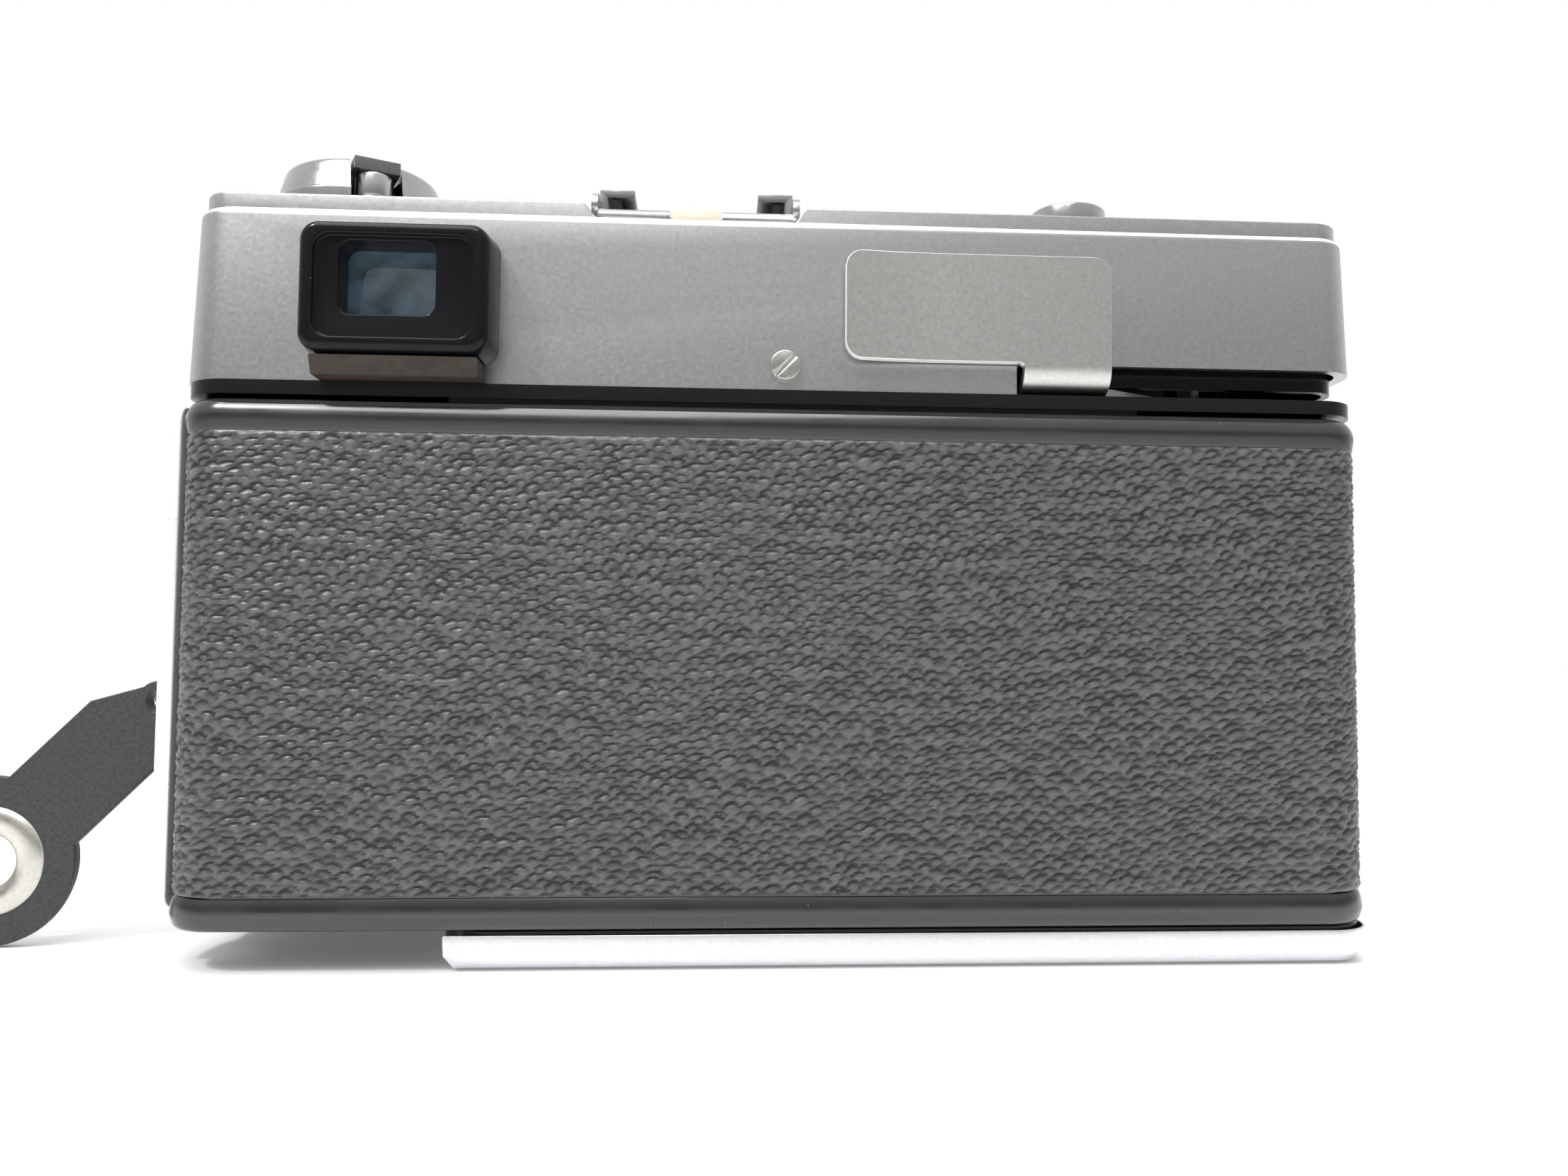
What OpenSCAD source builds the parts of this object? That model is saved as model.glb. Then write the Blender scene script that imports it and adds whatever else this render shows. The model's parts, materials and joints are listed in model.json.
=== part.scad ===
// Rangefinder camera for 35 mm film, seen with its lens looking along +Y.
// Origin: mouth of the tripod socket, on the face that the camera stands on.
// +Z is up, and the back door faces -Y. All lengths are millimetres.

/* [Body] */
// Width of the casting between its ends
body_w = 123; // [121:0.5:126]
// Depth of the top cover, back to front
cover_d = 31; // [30.5:0.25:33]
// Height of the film bay between floor and deck
bay_h = 53.4; // [52.5:0.3:55.5]
// Height of the top cover above the deck
cover_h = 18.1; // [17:0.5:21]
// Rise of the two raised platforms of the cover
platform_rise = 1.6; // [1.2:0.2:2.4]
// Corner radius of the cover seen from above
plan_r = 4.5; // [4:0.25:5.5]
// Sheet thickness of the top cover
cover_wall = 0.9; // [0.7:0.1:1.2]
// Thickness of the casting's deck
deck_t = 1.45; // [1.2:0.05:2]

/* [Base plate] */
// Height of the base plate
plate_h = 2.56; // [2.2:0.04:3.2]
// Distance from the socket to the plate's left end
plate_left = 34.5; // [30:0.5:38]
// Distance that the plate lies inside the cover's back face
plate_inset = 2.5; // [1.5:0.25:3.5]
// Height of the dark flange above the base plate
flange_h = 1.44; // [1.2:0.04:1.8]
// Radius of the quarter-inch tripod thread's wall
tripod_r = 2.55; // [2.5:0.05:2.6]
// Depth of the tripod thread
tripod_depth = 6; // [5:0.5:7]
// Radius of the battery cap
battery_r = 8; // [7:0.25:9]

/* [Back door] */
// Wall of the door's metal shell
door_wall = 1.2; // [1:0.1:1.4]
// Thickness of the leatherette
leather_t = 0.6; // [0.4:0.1:0.8]
// Distance that the leatherette stands behind the cover's back face
door_proud = 2.2; // [2:0.1:2.8]
// Height of the door's upper rim
top_rim_h = 3.3; // [2.6:0.1:4]
// Height of the door's lower rim
low_rim_h = 3.6; // [2.8:0.1:4.4]
// Radius of the hinge knuckle
knuckle_r = 1.5; // [1.3:0.05:1.6]
// Radius of the hinge pin
hinge_pin_r = 0.7; // [0.5:0.05:0.8]
// Opening angle of the door that the hinge gap leaves room for
door_open = 115; // [90:5:120]

/* [Finder] */
// Distance of the finder's axis to the left of the lens
finder_off = 39.9; // [38:0.5:41]
// Height of the finder's axis above the cover's lower edge
finder_up = 9.55; // [9:0.1:10]
// Width of the eyepiece frame
eye_w = 19.15; // [18:0.25:20]
// Height of the eyepiece frame
eye_h = 13.6; // [13:0.2:14.2]
// Distance that the eyepiece frame stands out of the cover
eye_proud = 4.7; // [3.8:0.2:5.5]
// Width of the eyepiece window
eye_win_w = 9.5; // [8:0.5:11]
// Height of the eyepiece window
eye_win_h = 7.5; // [6.5:0.25:8]

/* [Accessory shoe] */
// Outer width of the shoe
shoe_w = 20.8; // [20.6:0.1:21.6]
// Width between the shoe's lips
shoe_gap = 13.3; // [12.5:0.1:13.6]
// Length of the shoe's rails
shoe_len = 18; // [16:0.5:19]
// Clear height under the lips
shoe_clear = 2.1; // [2:0.05:2.3]
// Sheet thickness of the shoe
shoe_t = 0.8; // [0.7:0.05:0.9]

/* [Rewind] */
// Radius of the rewind knob
knob_r = 9.2; // [8.6:0.2:10]
// Height of the rewind knob
knob_h = 5.2; // [4.8:0.2:6]
// Width of the notch that the crank folds into
notch_w = 5.3; // [5:0.1:6]
// Radius of the rewind shaft
rewind_r = 2.5; // [2.2:0.1:2.8]
// Travel of the knob when it is pulled up
rewind_lift = 8; // [6:0.5:8]
// Radius of the film cassette chamber
cassette_r = 12.9; // [12.7:0.1:13]

/* [Wind lever] */
// Length of the thumb plate
thumb_w = 27.95; // [24:0.5:29]
// Height of the thumb plate
thumb_h = 11.3; // [10:0.5:12.5]
// Sheet thickness of the lever
lever_t = 1; // [0.8:0.1:1.1]
// Height of the slot that the lever's arm comes out of
slot_h = 3.3; // [3.2:0.1:3.8]
// Radius of the wind shaft
wind_r = 2; // [1.6:0.1:2.4]
// Radius of the take-up spool
spool_r = 6; // [5:0.25:6]
// Radius of the shutter button
button_r = 2.4; // [2.2:0.1:2.8]
// Travel of the shutter button
button_travel = 1.8; // [1.2:0.2:2]

/* [Lens] */
// Height of the lens axis above the bay's floor
lens_up = 26.5; // [26:0.25:27]
// Radius of the focusing tube
tube_r = 20.25; // [19.75:0.25:20.75]
// Wall of the focus ring round the tube
focus_wall = 5.2; // [4.4:0.2:5.2]
// Wall of the shutter speed ring round the hub
speed_wall = 3.9; // [3.1:0.2:4.1]
// Wall of the aperture ring round the hub
aperture_wall = 3.3; // [2.9:0.2:3.7]
// Step from the focusing tube out to the wall of the 46 mm filter thread
filter_step = 2.6; // [2.4:0.05:2.65]
// Travel of the lens from far to near focus
focus_travel = 2; // [1.5:0.1:2.2]
// Radius of the front glass
front_glass_r = 13; // [11:0.5:14]
// Radius of the rear glass
rear_glass_r = 9; // [8:0.5:10]

/* [Strap] */
// Width of the leather strap
strap_w = 10; // [8:0.5:12]
// Radius of the strap's round end
strap_end_r = 9; // [8:0.25:9]
// Thickness of the doubled strap
strap_t = 2; // [1.6:0.1:2.2]
// Outer radius of the grommet's flange
grommet_r = 5.9; // [5:0.1:6.5]
// Radius of the grommet's eye
eyelet_r = 2.85; // [2.5:0.05:3.1]

/* [Hidden] */
$fn = 64;
run = 0.05;          // radial clearance of a turning or sliding fit
snug = 0.02;         // radial clearance of a fixed fit
gap = 0.3;           // clearance between pieces that move past each other
seam = 0.05;         // line between fixed covers

// Heights
floor_z = plate_h + flange_h;
deck_z = floor_z + bay_h;
deck_top = deck_z + deck_t;
cover_z = deck_top + seam;
cover_top = cover_z + cover_h;
platform_top = cover_top + platform_rise;

// Depths
cover_back = -cover_d / 2;
cover_front = cover_d / 2;
flange_back = cover_back - 0.8;
door_skin = cover_back - door_proud;
door_metal = door_skin + leather_t;
door_inner = door_metal + door_wall;
rim_back = door_skin + 0.2;
bay_back = door_inner + gap;
front_face = cover_front - 0.5;

// Widths
half_w = body_w / 2;
cover_half = half_w + 0.35;
rim_half = half_w - 0.1;
skin_half = half_w - 0.4;
metal_half = skin_half - leather_t;
bay_half = metal_half - door_wall - gap;
side_half = half_w - 0.2;
end_r = plan_r + 0.5;

// Lens and film gate
lens_z = floor_z + lens_up;
gate_w = 36;
gate_h = 24;
film_h = 35;
film_y = bay_back + 2.2;
outer_rail_y = film_y - 0.6;
bore_y = 4;
barrel_r = tube_r - 1.2;
focus_r = tube_r + run + focus_wall;
mount_t = 2.6;
mount_r = focus_r + 2;
focus_y = front_face + mount_t + gap;
focus_len = 7.6;
hub_r = barrel_r + 2;
hub_wall = 1.4;
speed_r = hub_r + run + speed_wall;
aperture_r = hub_r + run + aperture_wall;
brow_r = speed_r - 1;
flange_y = focus_y + focus_len + 0.5;
speed_y = flange_y + 1.1;
speed_len = 4.9;
aperture_y = speed_y + speed_len + gap;
aperture_len = 4.7;
filter_y = aperture_y + aperture_len + gap;
filter_len = 5.7;
filter_depth = 4.6;
lens_front = filter_y + filter_len;
filter_r = tube_r + filter_step;
filter_wall = 1.45;
cell_r = 2;
cell_up = hub_r - hub_wall - cell_r - 0.65;
flute_r = 0.7;

// Shutter blades
blade_count = 5;
blade_t = 0.12;
blade_pitch = 0.17;
blade_y = 20;
blade_in_r = 9.5;
blade_out_r = 14.3;
blade_pivot = 15.6;
blade_span = 95;
blade_rest = 15;
blade_pin_r = 0.6;
blade_ear_r = 1.2;
shutter_r = 17.2;
port_r = 9;

// Door hinge and latch
hinge_x = half_w - knuckle_r - 0.2;
hinge_y = -4;
hinge_wall_x = hinge_x - knuckle_r - 0.4;
hinge_gap_y = hinge_y + knuckle_r * 2.3;
left_wrap_y = -9.5;
latch_y = cover_back + 2;
latch_w = 7;
latch_t = 1.6;
latch_low = floor_z + 1.7;
latch_high = deck_z - 0.7;
latch_x = -half_w - 0.3;
latch_stem = 2.4;
latch_travel = 3;
latch_stems_z = [lens_z - 14, lens_z + 14];
latch_stem_y = latch_y + latch_w - latch_stem / 2;
bay_round = end_r - door_wall - gap;
door_low = floor_z + 0.2;
door_high = deck_z - 0.5;

// Pressure plate on its four studs
press_left = -27;
press_right = 20.6;
press_half_h = 21;
press_t = 0.9;
press_front = outer_rail_y - 0.1;
stud_r = 1;
studs = [for (x = [-22, 15], dz = [-19, 19]) [x, lens_z + dz]];

// Base: screws as x and y, battery cap, rewind release and the latch's guide screw
plate_right = half_w + 0.45;
plate_back = cover_back + plate_inset;
plate_front = front_face - 0.6;
plate_wall = 1;
plate_screws = [[-30, -8], [-30, 10], [57, -8], [57, 10]];
base_shank_r = 0.9;
socket_r = 6;
battery_x = 30;
release_x = 16;
release_y = 4;
release_r = 1.8;
foot_x = -half_w + 3.9;
foot_y = cover_back + 7.6;
foot_r = 2.45;

// Film transport
cassette_x = -half_w + 14.1;
cassette_y = -3;
wind_x = half_w - 14.5;
wind_y = -2.5;
chamber_r = hinge_wall_x - 0.8 - wind_x;
sprocket_x = 27;
sprocket_r = 6;
sprocket_y = film_y + sprocket_r;
tooth_h = 1;
tooth_count = 8;
bay_low = floor_z + 1.8;
row_dz = 14.1;
spool_pin_r = 1.2;
spool_pin_h = 1.2;
spool_rim = 2.6;
sprocket_pin_r = 1.5;
sprocket_half = 16.5;

// Top controls
lever_gap = 0.4;
thumb_x = 33.8;
thumb_z = cover_z + slot_h - 0.1;
tab_w = 9.2;
bend_r = 1.7;
arm_z = deck_top + gap;
slot_x = thumb_x - tab_w - 0.5;
thumb_face = cover_back - lever_gap - lever_t;
slot_top = cover_z + slot_h;
slot_side_y = 4;
shroud_back = cover_back + 2.3;
shroud_x = cover_half - 1.35;
shroud_low = arm_z + lever_t + gap;
shroud_high = slot_top + 1.3;
shroud_wall = 0.8;
shroud_left = slot_x - 1.2;
shroud_front = cover_front - 2.5;
shroud_posts = [[shroud_left + 3.1, shroud_front - 4], [shroud_x - 4.5, shroud_front - 3]];
button_x = 32.8;
button_y = -5;
collar_r = 4.2;
collar_h = 3.8;
counter_x = 19;
counter_y = 2;
counter_r = 8;
counter_win_r = 3.2;
counter_win_y = -3.6;
counter_z = platform_top - cover_wall - 1.5;
knob_z = platform_top + gap;
knob_top = knob_z + knob_h;
notch_turn = 26;
crank_t = 1.3;
crank_z = knob_top - crank_t - 0.1;
crank_pin_r = 0.6;
crank_pin_off = -2.6;
grip_off = knob_r - 2.3;
grip_r = 2;
grip_h = 2.8;
grip_pin_r = 0.8;
boss_r = 6;
sleeve_r = 4;
sleeve_h = 6;
boss_h = 11.2;
dial_pin_r = 1.2;

// Shoe
shoe_x = -9.7;
shoe_back = cover_back + 4.9;
shoe_floor = cover_top + 1.6;
roll_r = 0.95;
insulator_w = 5.2;
shoe_screws = [for (x = [-5.5, 5.5], y = [5, 14]) [shoe_x + x, shoe_back + y]];
shoe_shank_r = 0.7;
contact_r = 1.2;

// Screw in the cover's back face, and self-timer on the front
screw_x = -0.25;
screw_z = cover_z + 2.6;
screw_r = 1.55;
shank_r = 0.8;
timer_x = 36;
timer_z = lens_z + 3;
timer_pin_r = 1.5;
timer_r = 4.6;
timer_arm = 18;

// Finder
finder_x = -finder_off;
finder_z = cover_z + finder_up;
rf_x = -8;
frameline_x = -23;
bezel_t = 0.6;
eye_z = finder_z - 0.9;
skirt_top = eye_z - eye_h / 2;
skirt_w = 17.5;
finder_win = [14, 9];
frameline_win = [10, 7];
rf_win = [6, 5];
front_wins = [[finder_x, finder_win], [frameline_x, frameline_win], [rf_x, rf_win]];
mirror_y = 4;
mirror_boss_h = 2.6;
mirror_pin_r = 1.2;
glass_t = 1;

// Strap, hung from the left lug at this slope
lug_z = 29.35;
lug_flange_r = 2.2;
lug_y = latch_y + latch_w + gap + lug_flange_r;
lug_out = 2.5;
lug_x = -side_half - lug_out;
lug_eye_r = 1;
lug_ear_r = 2;
lug_ear_t = 1.6;
lug_pin_r = 1.2;
right_lug_y = 9;
ring_r = 2.3;
wire_r = 0.4;
strap_slope = 45;
strap_hole_r = 1.2;
strap_len = (lug_z - strap_end_r - 0.1) / sin(strap_slope);

function lug_y_of(side) = side < 0 ? lug_y : right_lug_y;

// ---- Shapes shared by several pieces ----

// Rectangle with round corners, between two x and two y values
module rrect(x0, x1, y0, y1, r) {
    translate([x0 + r, y0]) square([x1 - x0 - 2 * r, y1 - y0]);
    translate([x0, y0 + r]) square([x1 - x0, y1 - y0 - 2 * r]);
    for (x = [x0 + r, x1 - r], y = [y0 + r, y1 - r]) translate([x, y]) circle(r);
}

// Upright block with round corners
module rbox(x0, x1, y0, y1, z0, z1, r) {
    translate([0, 0, z0]) linear_extrude(z1 - z0) rrect(x0, x1, y0, y1, r);
}

// Plain block between two corners
module block(x0, x1, y0, y1, z0, z1) {
    translate([x0, y0, z0]) cube([x1 - x0, y1 - y0, z1 - z0]);
}

// Slab facing the back or front, with round corners
module yslab(x0, x1, z0, z1, y0, y1, r) {
    translate([0, y1, 0]) rotate([90, 0, 0]) linear_extrude(y1 - y0) rrect(x0, x1, z0, z1, r);
}

// The same slab about a centre
module ypane(x, z, w, h, y0, y1, r) {
    yslab(x - w / 2, x + w / 2, z - h / 2, z + h / 2, y0, y1, r);
}

// Cylinder along Y
module ycyl(x, z, y0, y1, r) {
    translate([x, y1, z]) rotate([90, 0, 0]) cylinder(h = y1 - y0, r = r);
}

// Cylinder along Z
module zcyl(x, y, z0, z1, r) {
    translate([x, y, z0]) cylinder(h = z1 - z0, r = r);
}

// Turned piece about the lens axis, from points of radius and y
module turned(points) {
    translate([0, 0, lens_z]) rotate([-90, 0, 0]) rotate_extrude($fn = 96) polygon(points);
}

// Ring about the lens axis
module lens_ring(r_in, r_out, y0, y1) {
    difference() {
        ycyl(0, lens_z, y0, y1, r_out);
        ycyl(0, lens_z, y0 - 1, y1 + 1, r_in);
    }
}

// Slab with rounded upper edges, as one smooth shell
module soft_slab(x0, x1, y0, y1, z0, z1, r, edge) {
    hull() {
        for (x = [x0 + r, x1 - r], y = [y0 + r, y1 - r]) translate([x, y, z0]) {
            cylinder(h = z1 - z0 - edge, r = r, $fn = 32);
            translate([0, 0, z1 - z0 - edge]) rotate_extrude($fn = 32) intersection() {
                translate([r - edge, 0]) circle(edge, $fn = 16);
                square([r, edge]);
            }
        }
    }
}

// Raised platform with sloping ends
module platform(x0, x1, foot_left, foot_right) {
    inset = 1;
    hull() {
        rbox(x0 - foot_left, x1 + foot_right, cover_back + inset, cover_front - inset,
            cover_top - 0.1, cover_top, plan_r - inset, $fn = 32);
        rbox(x0, x1, cover_back + 2 * inset, cover_front - 2 * inset,
            platform_top - 0.1, platform_top, plan_r - inset, $fn = 32);
    }
}

// ---- Casting ----

// Outline of the casting's shell, open behind for the door's wraps
module casting_plan() {
    difference() {
        rrect(-side_half, side_half, bay_back, front_face, plan_r);
        translate([hinge_wall_x, bay_back - 1]) square([10, hinge_gap_y - bay_back + 1]);
        translate([-bay_half - 10, bay_back - 1]) square([10, left_wrap_y + gap - bay_back + 1]);
        // Back corners, rounded like the inside of the door
        difference() {
            translate([-body_w, bay_back - 1]) square([2 * body_w, bay_round + 1]);
            rrect(-bay_half, bay_half, bay_back, 0, bay_round);
        }
    }
}

module flange(x0, z0, z1) {
    rbox(x0, half_w, flange_back, front_face, z0, z1, end_r);
}

module film_bay() {
    // Cassette chamber, open to the back
    zcyl(cassette_x, cassette_y, bay_low, deck_z, cassette_r);
    block(cassette_x - cassette_r, cassette_x + cassette_r, bay_back - 1, cassette_y,
        bay_low, deck_z);
    // Take-up chamber, open to the back
    zcyl(wind_x, wind_y, bay_low, deck_z, chamber_r);
    block(wind_x - chamber_r, wind_x + chamber_r, bay_back - 1, wind_y, bay_low, deck_z);
    zcyl(wind_x, wind_y, bay_low - spool_pin_h - gap, bay_low + 1, spool_pin_r + run);
    // Film guide between the chambers
    block(cassette_x, wind_x, bay_back - 1, film_y, lens_z - film_h / 2 - gap,
        lens_z + film_h / 2 + gap);
    // Room for the pressure plate
    block(press_left - 1, press_right + 0.6, bay_back - 1, outer_rail_y, bay_low + 2,
        deck_z - 2.2);
    // Recess and bearings of the sprocket
    zcyl(sprocket_x, sprocket_y, lens_z - sprocket_half - 0.7, lens_z + sprocket_half + 0.7,
        sprocket_r + tooth_h + 0.5);
    zcyl(sprocket_x, sprocket_y, lens_z - sprocket_half - 2.7, lens_z + sprocket_half + 2.7,
        sprocket_pin_r + run);
    // Light way from the lens to the film
    block(-gate_w / 2, gate_w / 2, film_y - 1, bore_y + 1, lens_z - gate_h / 2,
        lens_z + gate_h / 2);
    ycyl(0, lens_z, bore_y, front_face + 1, tube_r + snug);
}

module body_casting() {
    color([0.09, 0.09, 0.1]) difference() {
        union() {
            translate([0, 0, floor_z]) linear_extrude(bay_h) casting_plan();
            flange(-half_w, deck_z, deck_top);
            flange(-plate_left, plate_h, floor_z);
            // Bush that the rewind sleeve slides in
            zcyl(cassette_x, cassette_y, deck_z, deck_top + boss_h, boss_r);
            // Bosses that the finder stands on
            block(finder_x - 8, finder_x + 8, mirror_y - 4, mirror_y + 7, deck_top,
                deck_top + mirror_boss_h);
            block(rf_x - 6, rf_x + 6, mirror_y - 5, mirror_y + 5, deck_top,
                deck_top + mirror_boss_h);
            // Boss under the counter dial
            zcyl(counter_x, counter_y, deck_z, deck_top + 6, 3);
        }
        film_bay();
        // Bores of the shafts through the deck
        zcyl(cassette_x, cassette_y, deck_z - 1, deck_top + 1, rewind_r + run);
        zcyl(cassette_x, cassette_y, deck_top, deck_top + boss_h + 1, sleeve_r + run);
        zcyl(wind_x, wind_y, deck_z - 1, deck_top + 1, wind_r + run);
        zcyl(counter_x, counter_y, deck_top + 1, deck_top + 7, dial_pin_r + run);
        zcyl(rf_x, mirror_y, deck_top + 0.6, deck_top + 3, mirror_pin_r + run);
        // Hinge pin's seats
        zcyl(hinge_x, hinge_y, plate_h + 0.4, deck_top - 0.4, hinge_pin_r + snug);
        // Seats under the floor
        zcyl(0, 0, 0, tripod_depth + 2, socket_r + snug);
        zcyl(battery_x, 0, 0, 8, battery_r - 1 + snug);
        zcyl(release_x, release_y, plate_h - 1, 10, release_r + run);
        for (p = plate_screws) zcyl(p[0], p[1], plate_h - 1, 7.5, base_shank_r + snug);
        zcyl(foot_x, foot_y, floor_z - 1, 8, base_shank_r + snug);
        // Slots for the door latch's stems
        for (z = latch_stems_z) block(-side_half - 1, -side_half + 1.75,
            latch_stem_y - latch_stem / 2 - run, latch_stem_y + latch_stem / 2 + run,
            z - latch_stem / 2 - latch_travel - gap,
            z + latch_stem / 2 + gap);
        // Seats of the strap lugs and the self-timer
        for (s = [-1, 1]) translate([s * side_half, lug_y_of(s), lug_z]) rotate([0, 90, 0])
            cylinder(h = 6, r = lug_pin_r + snug, center = true);
        ycyl(timer_x, timer_z, front_face - 6, front_face + 1, timer_pin_r + run);
    }
}

module front_leatherette() {
    color([0.13, 0.13, 0.13]) difference() {
        translate([0, 0, floor_z + 0.2]) linear_extrude(bay_h - 0.4) difference() {
            rrect(-side_half - leather_t, side_half + leather_t, bay_back, front_face + leather_t,
                plan_r + leather_t);
            rrect(-side_half, side_half, bay_back - 2, front_face, plan_r);
            translate([-100, -100]) square([200, 100 + front_face - 7]);
        }
        ycyl(0, lens_z, 0, cover_d, mount_r + gap);
        ycyl(timer_x, timer_z, 0, cover_d, timer_r + gap);
        translate([side_half, right_lug_y, lug_z]) rotate([0, 90, 0])
            cylinder(h = 6, r = lug_flange_r + gap, center = true);
    }
}

// ---- Top cover ----

module cover_room() {
    rbox(-cover_half + cover_wall, cover_half - cover_wall, cover_back + cover_wall,
        cover_front - cover_wall, cover_z - 1, cover_top - cover_wall, plan_r - cover_wall);
    rbox(-cover_half + 4, finder_x + 16, cover_back + 4, cover_front - 4,
        cover_top - 2, platform_top - cover_wall, 2);
    rbox(6, cover_half - 4, cover_back + 4, cover_front - 4,
        cover_top - 2, platform_top - cover_wall, 2);
}

module top_cover() {
    color([0.62, 0.63, 0.62]) difference() {
        union() {
            soft_slab(-cover_half, cover_half, cover_back, cover_front, cover_z, cover_top,
                plan_r, 1);
            platform(-cover_half + 0.6, shoe_x - shoe_w / 2 - 1.8, 0, 1.7);
            platform(shoe_x + shoe_w / 2 + 1.4, cover_half - 0.6, 1.2, 0);
        }
        cover_room();
        // Slot of the wind lever, round the right end
        block(slot_x, half_w + 5, cover_back - 1, cover_back + cover_wall + 1, cover_z - 1, slot_top);
        block(half_w - cover_wall - 0.8, half_w + 5, cover_back - 1, slot_side_y,
            cover_z - 1, slot_top);
        block(half_w - plan_r - 1, half_w + 5, cover_back - 1, cover_back + plan_r + 1,
            cover_z - 1, slot_top);
        // Eyepiece and front windows
        ypane(finder_x, finder_z, eye_win_w + 0.6, eye_win_h + 0.6, cover_back - 1,
            cover_back + 3, 0.8);
        for (win = front_wins) ypane(win[0], finder_z, win[1][0], win[1][1], cover_front - 3,
            cover_front + 1, 0.8);
        // Holes in the top
        zcyl(cassette_x, cassette_y, cover_top - 2, platform_top + 1, sleeve_r - 1);
        zcyl(button_x, button_y, cover_top - 2, platform_top + 1, button_r + run);
        zcyl(counter_x, counter_win_y, cover_top - 2, platform_top + 1, counter_win_r + snug);
        // Seat of the cover's screw
        ycyl(screw_x, screw_z, cover_back - 1, cover_back + 2, shank_r + snug);
    }
}

// Round-headed screw at the origin, its shank along -Z and its slot turned
module slotted_screw(head_r, head_h, shank_r, shank_l, turn) {
    difference() {
        union() {
            cylinder(h = head_h, r = head_r);
            translate([0, 0, -shank_l]) cylinder(h = shank_l + 0.1, r = shank_r);
        }
        rotate([0, 0, turn]) translate([-head_r - 1, -0.25, head_h - 0.4])
            cube([2 * head_r + 2, 0.5, 1]);
    }
}

module cover_screws() {
    color([0.6, 0.62, 0.56])
        translate([screw_x, cover_back, screw_z]) rotate([90, 0, 0])
            slotted_screw(screw_r, 0.7, shank_r, 2, 45);
}

module wind_shroud() {
    color([0.06, 0.06, 0.07]) {
        difference() {
            rbox(shroud_left, shroud_x, shroud_back, shroud_front, shroud_low, shroud_high, 3.5);
            // Room for the lever's arm, open in front
            rbox(shroud_left + shroud_wall, shroud_x - shroud_wall, shroud_back + shroud_wall,
                slot_side_y + 1.2, shroud_low - 1, shroud_high - shroud_wall, 2.7);
            block(shroud_left - 1, shroud_x + 1, slot_side_y + 1, shroud_front + 1,
                shroud_low - 1, shroud_high - shroud_wall);
            zcyl(wind_x, wind_y, shroud_low - 1, shroud_high + 1, wind_r + run);
        }
        for (p = shroud_posts) zcyl(p[0], p[1], deck_top, shroud_high - shroud_wall / 2, 1.6);
    }
}

// ---- Finder ----

module eyepiece_frame() {
    color([0.1, 0.1, 0.11]) difference() {
        ypane(finder_x + 0.7, eye_z, eye_w, eye_h, cover_back - eye_proud, cover_back, 2.6);
        ypane(finder_x + 0.5, eye_z + 0.2, eye_w - 2.45, eye_h - 2.5,
            cover_back - eye_proud - 1, cover_back - 1.7, 1.8);
        ypane(finder_x, finder_z, eye_win_w, eye_win_h, cover_back - 3, cover_back + 1, 0.6);
        ypane(finder_x, finder_z, eye_win_w + 1, eye_win_h + 0.9, cover_back - 0.9,
            cover_back + 1, 0.6);
    }
}

module eyepiece_skirt() {
    color([0.3, 0.26, 0.21]) translate([finder_x + 0.2 - skirt_w / 2, 0, 0])
        rotate([90, 0, 90]) linear_extrude(skirt_w)
            polygon([[cover_back, cover_z], [cover_back, skirt_top],
                [cover_back - eye_proud + 0.5, skirt_top],
                [cover_back - eye_proud + 1.4, cover_z]]);
}

module eyepiece_lens() {
    color([0.25, 0.33, 0.4, 0.6]) ypane(finder_x, finder_z, eye_win_w + 1 - 2 * snug,
        eye_win_h + 0.9 - 2 * snug, cover_back - 0.9, cover_back, 0.6);
}

module window_bezel() {
    color([0.05, 0.05, 0.06]) difference() {
        yslab(finder_x - 9, rf_x + 5, finder_z - 6, finder_z + 6, cover_front,
            cover_front + bezel_t, 1.5);
        for (win = front_wins) ypane(win[0], finder_z, win[1][0], win[1][1], cover_front - 1,
            cover_front + 2, 0.8);
    }
}

// Window glass in its hole in the cover and the bezel
module window_glass(x, win) {
    ypane(x, finder_z, win[0] - 2 * snug, win[1] - 2 * snug, cover_front - cover_wall,
        cover_front + bezel_t - 0.3, 0.8 - snug);
}

module finder_window() {
    color([0.5, 0.6, 0.7, 0.5]) window_glass(finder_x, finder_win);
}

module front_windows() {
    color([0.75, 0.77, 0.75, 0.6]) window_glass(frameline_x, frameline_win);
    color([0.5, 0.6, 0.7, 0.5]) window_glass(rf_x, rf_win);
}

module beam_splitter() {
    color([0.7, 0.75, 0.6, 0.5]) translate([finder_x, mirror_y + 3, deck_top + mirror_boss_h])
        rotate([0, 0, 45]) translate([-5.5, -glass_t / 2, 0])
            cube([11, glass_t, finder_z + 4.5 - deck_top - mirror_boss_h]);
}

module mirror_arm() {
    color([0.6, 0.5, 0.3]) {
        zcyl(rf_x, mirror_y, deck_top + 0.6, deck_top + mirror_boss_h + 0.1, mirror_pin_r);
        difference() {
            zcyl(rf_x, mirror_y, deck_top + mirror_boss_h + 0.05, deck_top + 4, 4.2);
            translate([rf_x, mirror_y, 0]) rotate([0, 0, -45])
                translate([-5, 0.5, deck_top + 3.4]) cube([10, glass_t + 2 * snug, 5]);
        }
    }
}

module rangefinder_mirror() {
    color([0.85, 0.87, 0.9]) translate([rf_x, mirror_y, 0]) rotate([0, 0, -45])
        translate([-3.6, 0.5 + snug, deck_top + 3.4])
            cube([7.2, glass_t, finder_z + 4 - deck_top - 3.4]);
}

// ---- Accessory shoe ----

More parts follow.
